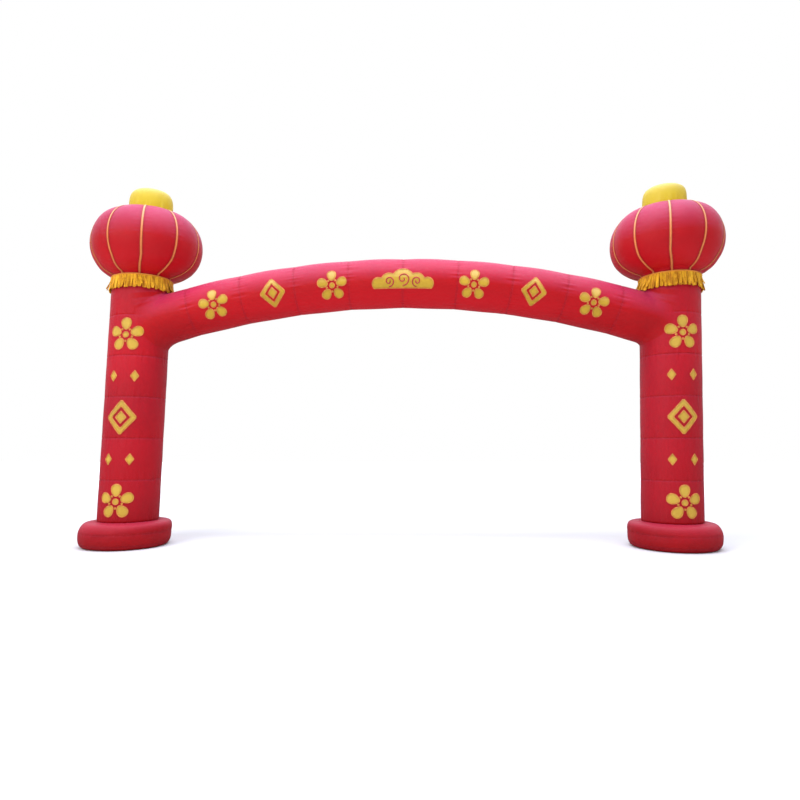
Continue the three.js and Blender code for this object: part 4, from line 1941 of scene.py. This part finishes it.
@dataclass
class Drape:
    """The outermost cloth of finished pieces, found from outside along a round body's own directions."""

    pieces: Sequence[bpy.types.Object]
    cloth: ClothPoint
    above: float = 0.3  # from where the search looks inwards
    clear: float = 0.0006  # what another cloth must stand out by to be the outermost

    def __post_init__(self) -> None:
        """Prepares the pieces for the search."""
        self.trees = []
        for piece in self.pieces:
            corners = [vert.co[:] for vert in piece.data.vertices]
            faces = [face.vertices[:] for face in piece.data.polygons]
            self.trees.append(BVHTree.FromPolygons(corners, faces))

    def over(self, u: np.ndarray, v: np.ndarray, lift: Numbers) -> np.ndarray:
        """Finds points over whichever cloth is outermost.

        Args:
            u: places on the flat pattern, across.
            v: the same places, up.
            lift: how far the points stand off the cloth.

        Returns:
            The leaned points.
        """
        start = leaned(self.cloth(u, v, self.above))
        inward = unit(leaned(self.cloth(u, v, 0.0)) - start)
        lifts = np.broadcast_to(lift, len(start))
        points = []
        for origin, way, off in zip(start, inward, lifts):
            found = [tree.ray_cast(Vector(origin), Vector(way), 2 * self.above)[3] for tree in self.trees]
            nearest = min((distance for distance in found if distance is not None), default=self.above)
            reach = nearest if nearest < self.above - self.clear else self.above
            points.append(origin + way * (reach - off))
        return np.array(points)


@dataclass
class FigureSet:
    """The figures on one sewn body: yellow patches with an edge cord and a row of stitches."""

    word: str
    drape: Drape
    shop: Workshop
    figures: Sequence[Sewn]
    thickness: float = 0.005
    sunk: float = 0.3  # share of the thickness that lies under the cloth
    cut: float = 0.022  # largest face, so that a patch follows the round of the cloth
    edge_radius: float = 0.006
    edge_lift: float = 0.003
    row_in: float = 0.016  # from a patch's edge to its stitches
    row_lift: float = 0.006
    smallest_sewn: float = 0.06  # a smaller patch is only glued
    swirl_radius: float = 0.009
    swirl_lift: float = 0.007

    def build(self) -> None:
        """Builds the patches, the cords round them and on them, and their stitches."""
        made = bmesh.new()
        made.loops.layers.uv.new("cloth")
        edges, rows, swirls = [], [], []
        for sewn in self.figures:
            for patch in sewn.figure.patches(sewn.size):
                self.add_patch(made, patch, sewn.at)
                for outline in patch.outlines:
                    fine = filled_in(outline, self.cut) + sewn.at
                    edges.append(self.drape.over(*fine.T, self.edge_lift))
                    if np.ptp(fine[:, 0]) >= self.smallest_sewn:
                        rows.append(self.drape.over(*inset(fine, self.row_in).T, self.row_lift))
            for line in sewn.figure.swirls(sewn.size):
                swirls.append(self.drape.over(*(line + sewn.at).T, self.swirl_lift))
        mesh = bpy.data.meshes.new(f"figure_patches_{self.word}")
        made.to_mesh(mesh)
        made.free()
        mesh.shade_smooth()
        mesh.materials.append(self.shop.patch_cloth)
        keep(linked(mesh.name, mesh), "gold_cloth")
        gold, red = self.shop.gold_thread, self.shop.red_thread
        self.shop.lay_cord(f"figure_edges_{self.word}", edges, self.edge_radius, gold, "gold_cloth")
        self.shop.sew(f"figure_stitches_{self.word}", rows, gold, "gold_cloth")
        if swirls:
            name = f"figure_swirls_{self.word}"
            self.shop.lay_cord(name, swirls, self.swirl_radius, red, "tower_cloth", closed=False)

    def add_patch(self, made: bmesh.types.BMesh, patch: Patch, at: tuple[float, float]) -> None:
        """Adds one patch as a thin closed body that lies on the cloth.

        Args:
            made: the mesh that it joins.
            patch: the flat patch.
            at: where its origin lies on the flat pattern.
        """
        flat = bmesh.new()
        corners = [flat.verts.new((*point, 0.0)) for point in patch.points]
        for face in patch.faces:
            flat.faces.new([corners[i] for i in face])
        bmesh.ops.triangulate(flat, faces=flat.faces[:])
        for axis in (0, 1):
            low, high = patch.points[:, axis].min(), patch.points[:, axis].max()
            normal = Vector((1 - axis, axis, 0))
            for place in np.arange(low + self.cut, high, self.cut):
                everything = flat.verts[:] + flat.edges[:] + flat.faces[:]
                bmesh.ops.bisect_plane(flat, geom=everything, plane_co=normal * place, plane_no=normal)
        bmesh.ops.recalc_face_normals(flat, faces=flat.faces[:])
        raised = bmesh.ops.extrude_face_region(flat, geom=flat.faces[:])
        for vert in raised["geom"]:
            if isinstance(vert, bmesh.types.BMVert):
                vert.co.z = 1.0
        bmesh.ops.recalc_face_normals(flat, faces=flat.faces[:])
        layer = flat.loops.layers.uv.new("cloth")
        for face in flat.faces:
            for loop in face.loops:
                loop[layer].uv = loop.vert.co.xy
        places = np.array([vert.co[:] for vert in flat.verts])
        u, v = places[:, 0] + at[0], places[:, 1] + at[1]
        points = self.drape.over(u, v, (places[:, 2] - self.sunk) * self.thickness)
        for vert, point in zip(flat.verts, points):
            vert.co = point
        mesh = bpy.data.meshes.new("patch")
        flat.to_mesh(mesh)
        flat.free()
        made.from_mesh(mesh)
        bpy.data.meshes.remove(mesh)


# ------------------ studio


@dataclass(frozen=True)
class Viewpoint:
    """The camera at the eye height of a standing person, in front of the arch."""

    place: tuple[float, float, float] = (0.1647, -10.0996, 1.6057)
    turned: float = 0.0221  # towards -X, in radians
    raised: float = 0.0808
    lens: float = 27.0
    sensor: float = 36.0

    def set_up(self) -> None:
        """Adds the camera and makes it the scene's."""
        data = bpy.data.cameras.new("viewpoint")
        data.lens = self.lens
        data.sensor_width = self.sensor
        camera = bpy.data.objects.new("viewpoint", data)
        bpy.context.scene.collection.objects.link(camera)
        camera.location = self.place
        level = math.cos(self.raised)
        ahead = Vector((-math.sin(self.turned) * level, math.cos(self.turned) * level, math.sin(self.raised)))
        camera.rotation_euler = ahead.to_track_quat("-Z", "Y").to_euler()
        bpy.context.scene.camera = camera


@dataclass(frozen=True)
class Panel:
    """A soft light panel that looks at a point."""

    name: str
    place: tuple[float, float, float]
    aim: tuple[float, float, float]
    size: tuple[float, float]
    power: float
    colour: str = "#FFFFFF"

    def set_up(self) -> None:
        """Adds the panel."""
        data = bpy.data.lights.new(self.name, "AREA")
        data.shape = "RECTANGLE"
        data.size, data.size_y = self.size
        data.energy = self.power
        data.color = linear(self.colour)[:3]
        lamp = bpy.data.objects.new(self.name, data)
        bpy.context.scene.collection.objects.link(lamp)
        lamp.location = self.place
        lamp.rotation_euler = (Vector(self.aim) - Vector(self.place)).to_track_quat("-Z", "Y").to_euler()
        lamp.visible_camera = False


@dataclass(frozen=True)
class Studio:
    """A pale floor under an even white sky, with soft panels above and in front."""

    floor: str = "#D2D2D2"
    far_floor: str = "#FFFFFF"
    mirrored_floor: str = "#4A4A4A"  # as the coated cloth mirrors it, which is as plain ground
    floor_size: float = 120.0
    pales: tuple[float, float] = (7.0, 24.0)  # distances from the middle where it starts to, and is all pale
    sky: str = "#F2F5FF"
    horizon: float = 0.42
    zenith: float = 2.4
    panels: tuple[Panel, ...] = (
        Panel("sky_panel", (0.0, -3.0, 14.0), (0.0, 0.0, 4.0), (14.0, 3.0), 1300.0, "#E2EAFF"),
        Panel("left_panel", (-9.0, -11.0, 9.0), (0.0, 0.0, 2.5), (7.0, 7.0), 850.0),
    )

    def set_up(self) -> None:
        """Adds the floor, the sky and the panels."""
        half = self.floor_size / 2
        corners = [(x * half, y * half, 0.0) for x, y in ((-1, -1), (1, -1), (1, 1), (-1, 1))]
        mesh = bpy.data.meshes.new("floor")
        mesh.from_pydata(corners, [], [(0, 1, 2, 3)])
        floor = linked("floor", mesh)
        paint = bpy.data.materials.new("matt_floor_paint")
        paint.use_nodes = True
        tree = paint.node_tree
        shader = tree.nodes["Principled BSDF"]
        shader.inputs["Roughness"].default_value = 0.9
        place = add_node(tree, "ShaderNodeTexCoord")
        from_middle = add_node(tree, "ShaderNodeVectorMath", {0: place.outputs["Object"]}, operation="LENGTH")
        away = add_node(
            tree,
            "ShaderNodeMapRange",
            {"Value": from_middle.outputs["Value"], "From Min": self.pales[0], "From Max": self.pales[1]},
            interpolation_type="SMOOTHSTEP",
        )
        ray = add_node(tree, "ShaderNodeLightPath")
        colour = linear(self.floor)
        layers = ((away.outputs[0], self.far_floor), (ray.outputs["Is Glossy Ray"], self.mirrored_floor))
        for share, tint in layers:
            mix = {SHARE: share, FIRST: colour, SECOND: linear(tint)}
            colour = add_node(tree, "ShaderNodeMix", mix, data_type="RGBA").outputs[MIXED]
        tree.links.new(colour, shader.inputs["Base Color"])
        mesh.materials.append(paint)
        self.set_sky()
        for panel in self.panels:
            panel.set_up()
        bpy.context.scene.view_settings.view_transform = "Standard"

    def set_sky(self) -> None:
        """Makes a plain white backdrop, and a sky that lights the arch mostly from overhead."""
        world = bpy.data.worlds.new("sky")
        bpy.context.scene.world = world
        world.use_nodes = True
        tree = world.node_tree
        tree.nodes.clear()
        direction = add_node(tree, "ShaderNodeTexCoord")
        part = add_node(tree, "ShaderNodeSeparateXYZ", {0: direction.outputs["Generated"]})
        strength = add_node(
            tree,
            "ShaderNodeMapRange",
            {
                "Value": part.outputs["Z"],
                "From Min": 0.1,
                "From Max": 1.0,
                "To Min": self.horizon,
                "To Max": self.zenith,
            },
        )
        light = add_node(
            tree, "ShaderNodeBackground", {"Color": linear(self.sky), "Strength": strength.outputs[0]}
        )
        backdrop = add_node(tree, "ShaderNodeBackground", {"Color": linear("#FFFFFF"), "Strength": 1.0})
        ray = add_node(tree, "ShaderNodeLightPath")
        seen = add_node(
            tree,
            "ShaderNodeMixShader",
            {0: ray.outputs["Is Camera Ray"], 1: light.outputs[0], 2: backdrop.outputs[0]},
        )
        add_node(tree, "ShaderNodeOutputWorld", {"Surface": seen.outputs[0]})


# ------------------ the arch


def column_figures() -> list[Sewn]:
    """Lists a blossom, a lozenge and a blossom up a column, with small lozenges between them.

    Returns:
        The figures.
    """
    low, pitch = 0.755, 0.679
    kinds = (Figure.BLOSSOM, Figure.PAIR, Figure.LOZENGE, Figure.PAIR, Figure.BLOSSOM)
    sizes = {Figure.BLOSSOM: 0.56, Figure.LOZENGE: 0.58, Figure.PAIR: 0.44}
    return [Sewn(kind, sizes[kind], (0.0, low + i * pitch)) for i, kind in enumerate(kinds)]


def beam_figures(panel: float) -> list[Sewn]:
    """Lists a cloud at mid-span, then a blossom, a lozenge and a blossom out to both sides.

    Args:
        panel: the length of a panel of the beam.

    Returns:
        The figures.
    """
    size, places = 0.5, ((1.3, Figure.BLOSSOM), (2.4, Figure.LOZENGE), (3.5, Figure.BLOSSOM))
    figures = [Sewn(Figure.CLOUD, 1.02, (0.0, -0.02))]
    for way in (-1, 1):
        figures += [Sewn(kind, size, (way * place * panel, 0.0)) for place, kind in places]
    return figures


def main() -> None:
    """Builds the arch around its frame."""
    logging.basicConfig(level=logging.INFO, format="%(message)s")
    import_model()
    Viewpoint().set_up()
    Studio().set_up()
    shop = Workshop()
    columns = {side: Column(side, shop) for side in Side}
    beam = Beam(columns, shop)
    tube = beam.build()
    for side, column in columns.items():
        PillowBase(side, shop).build()
        band = column.build()
        FringedCollar(column, beam).build()
        Lantern(side, shop).build()
        FigureSet(side.word, Drape([band, tube], column.front), shop, column_figures()).build()
    FigureSet("beam", Drape([tube], beam.front), shop, beam_figures(beam.panel)).build()


if __name__ == "__main__":
    main()
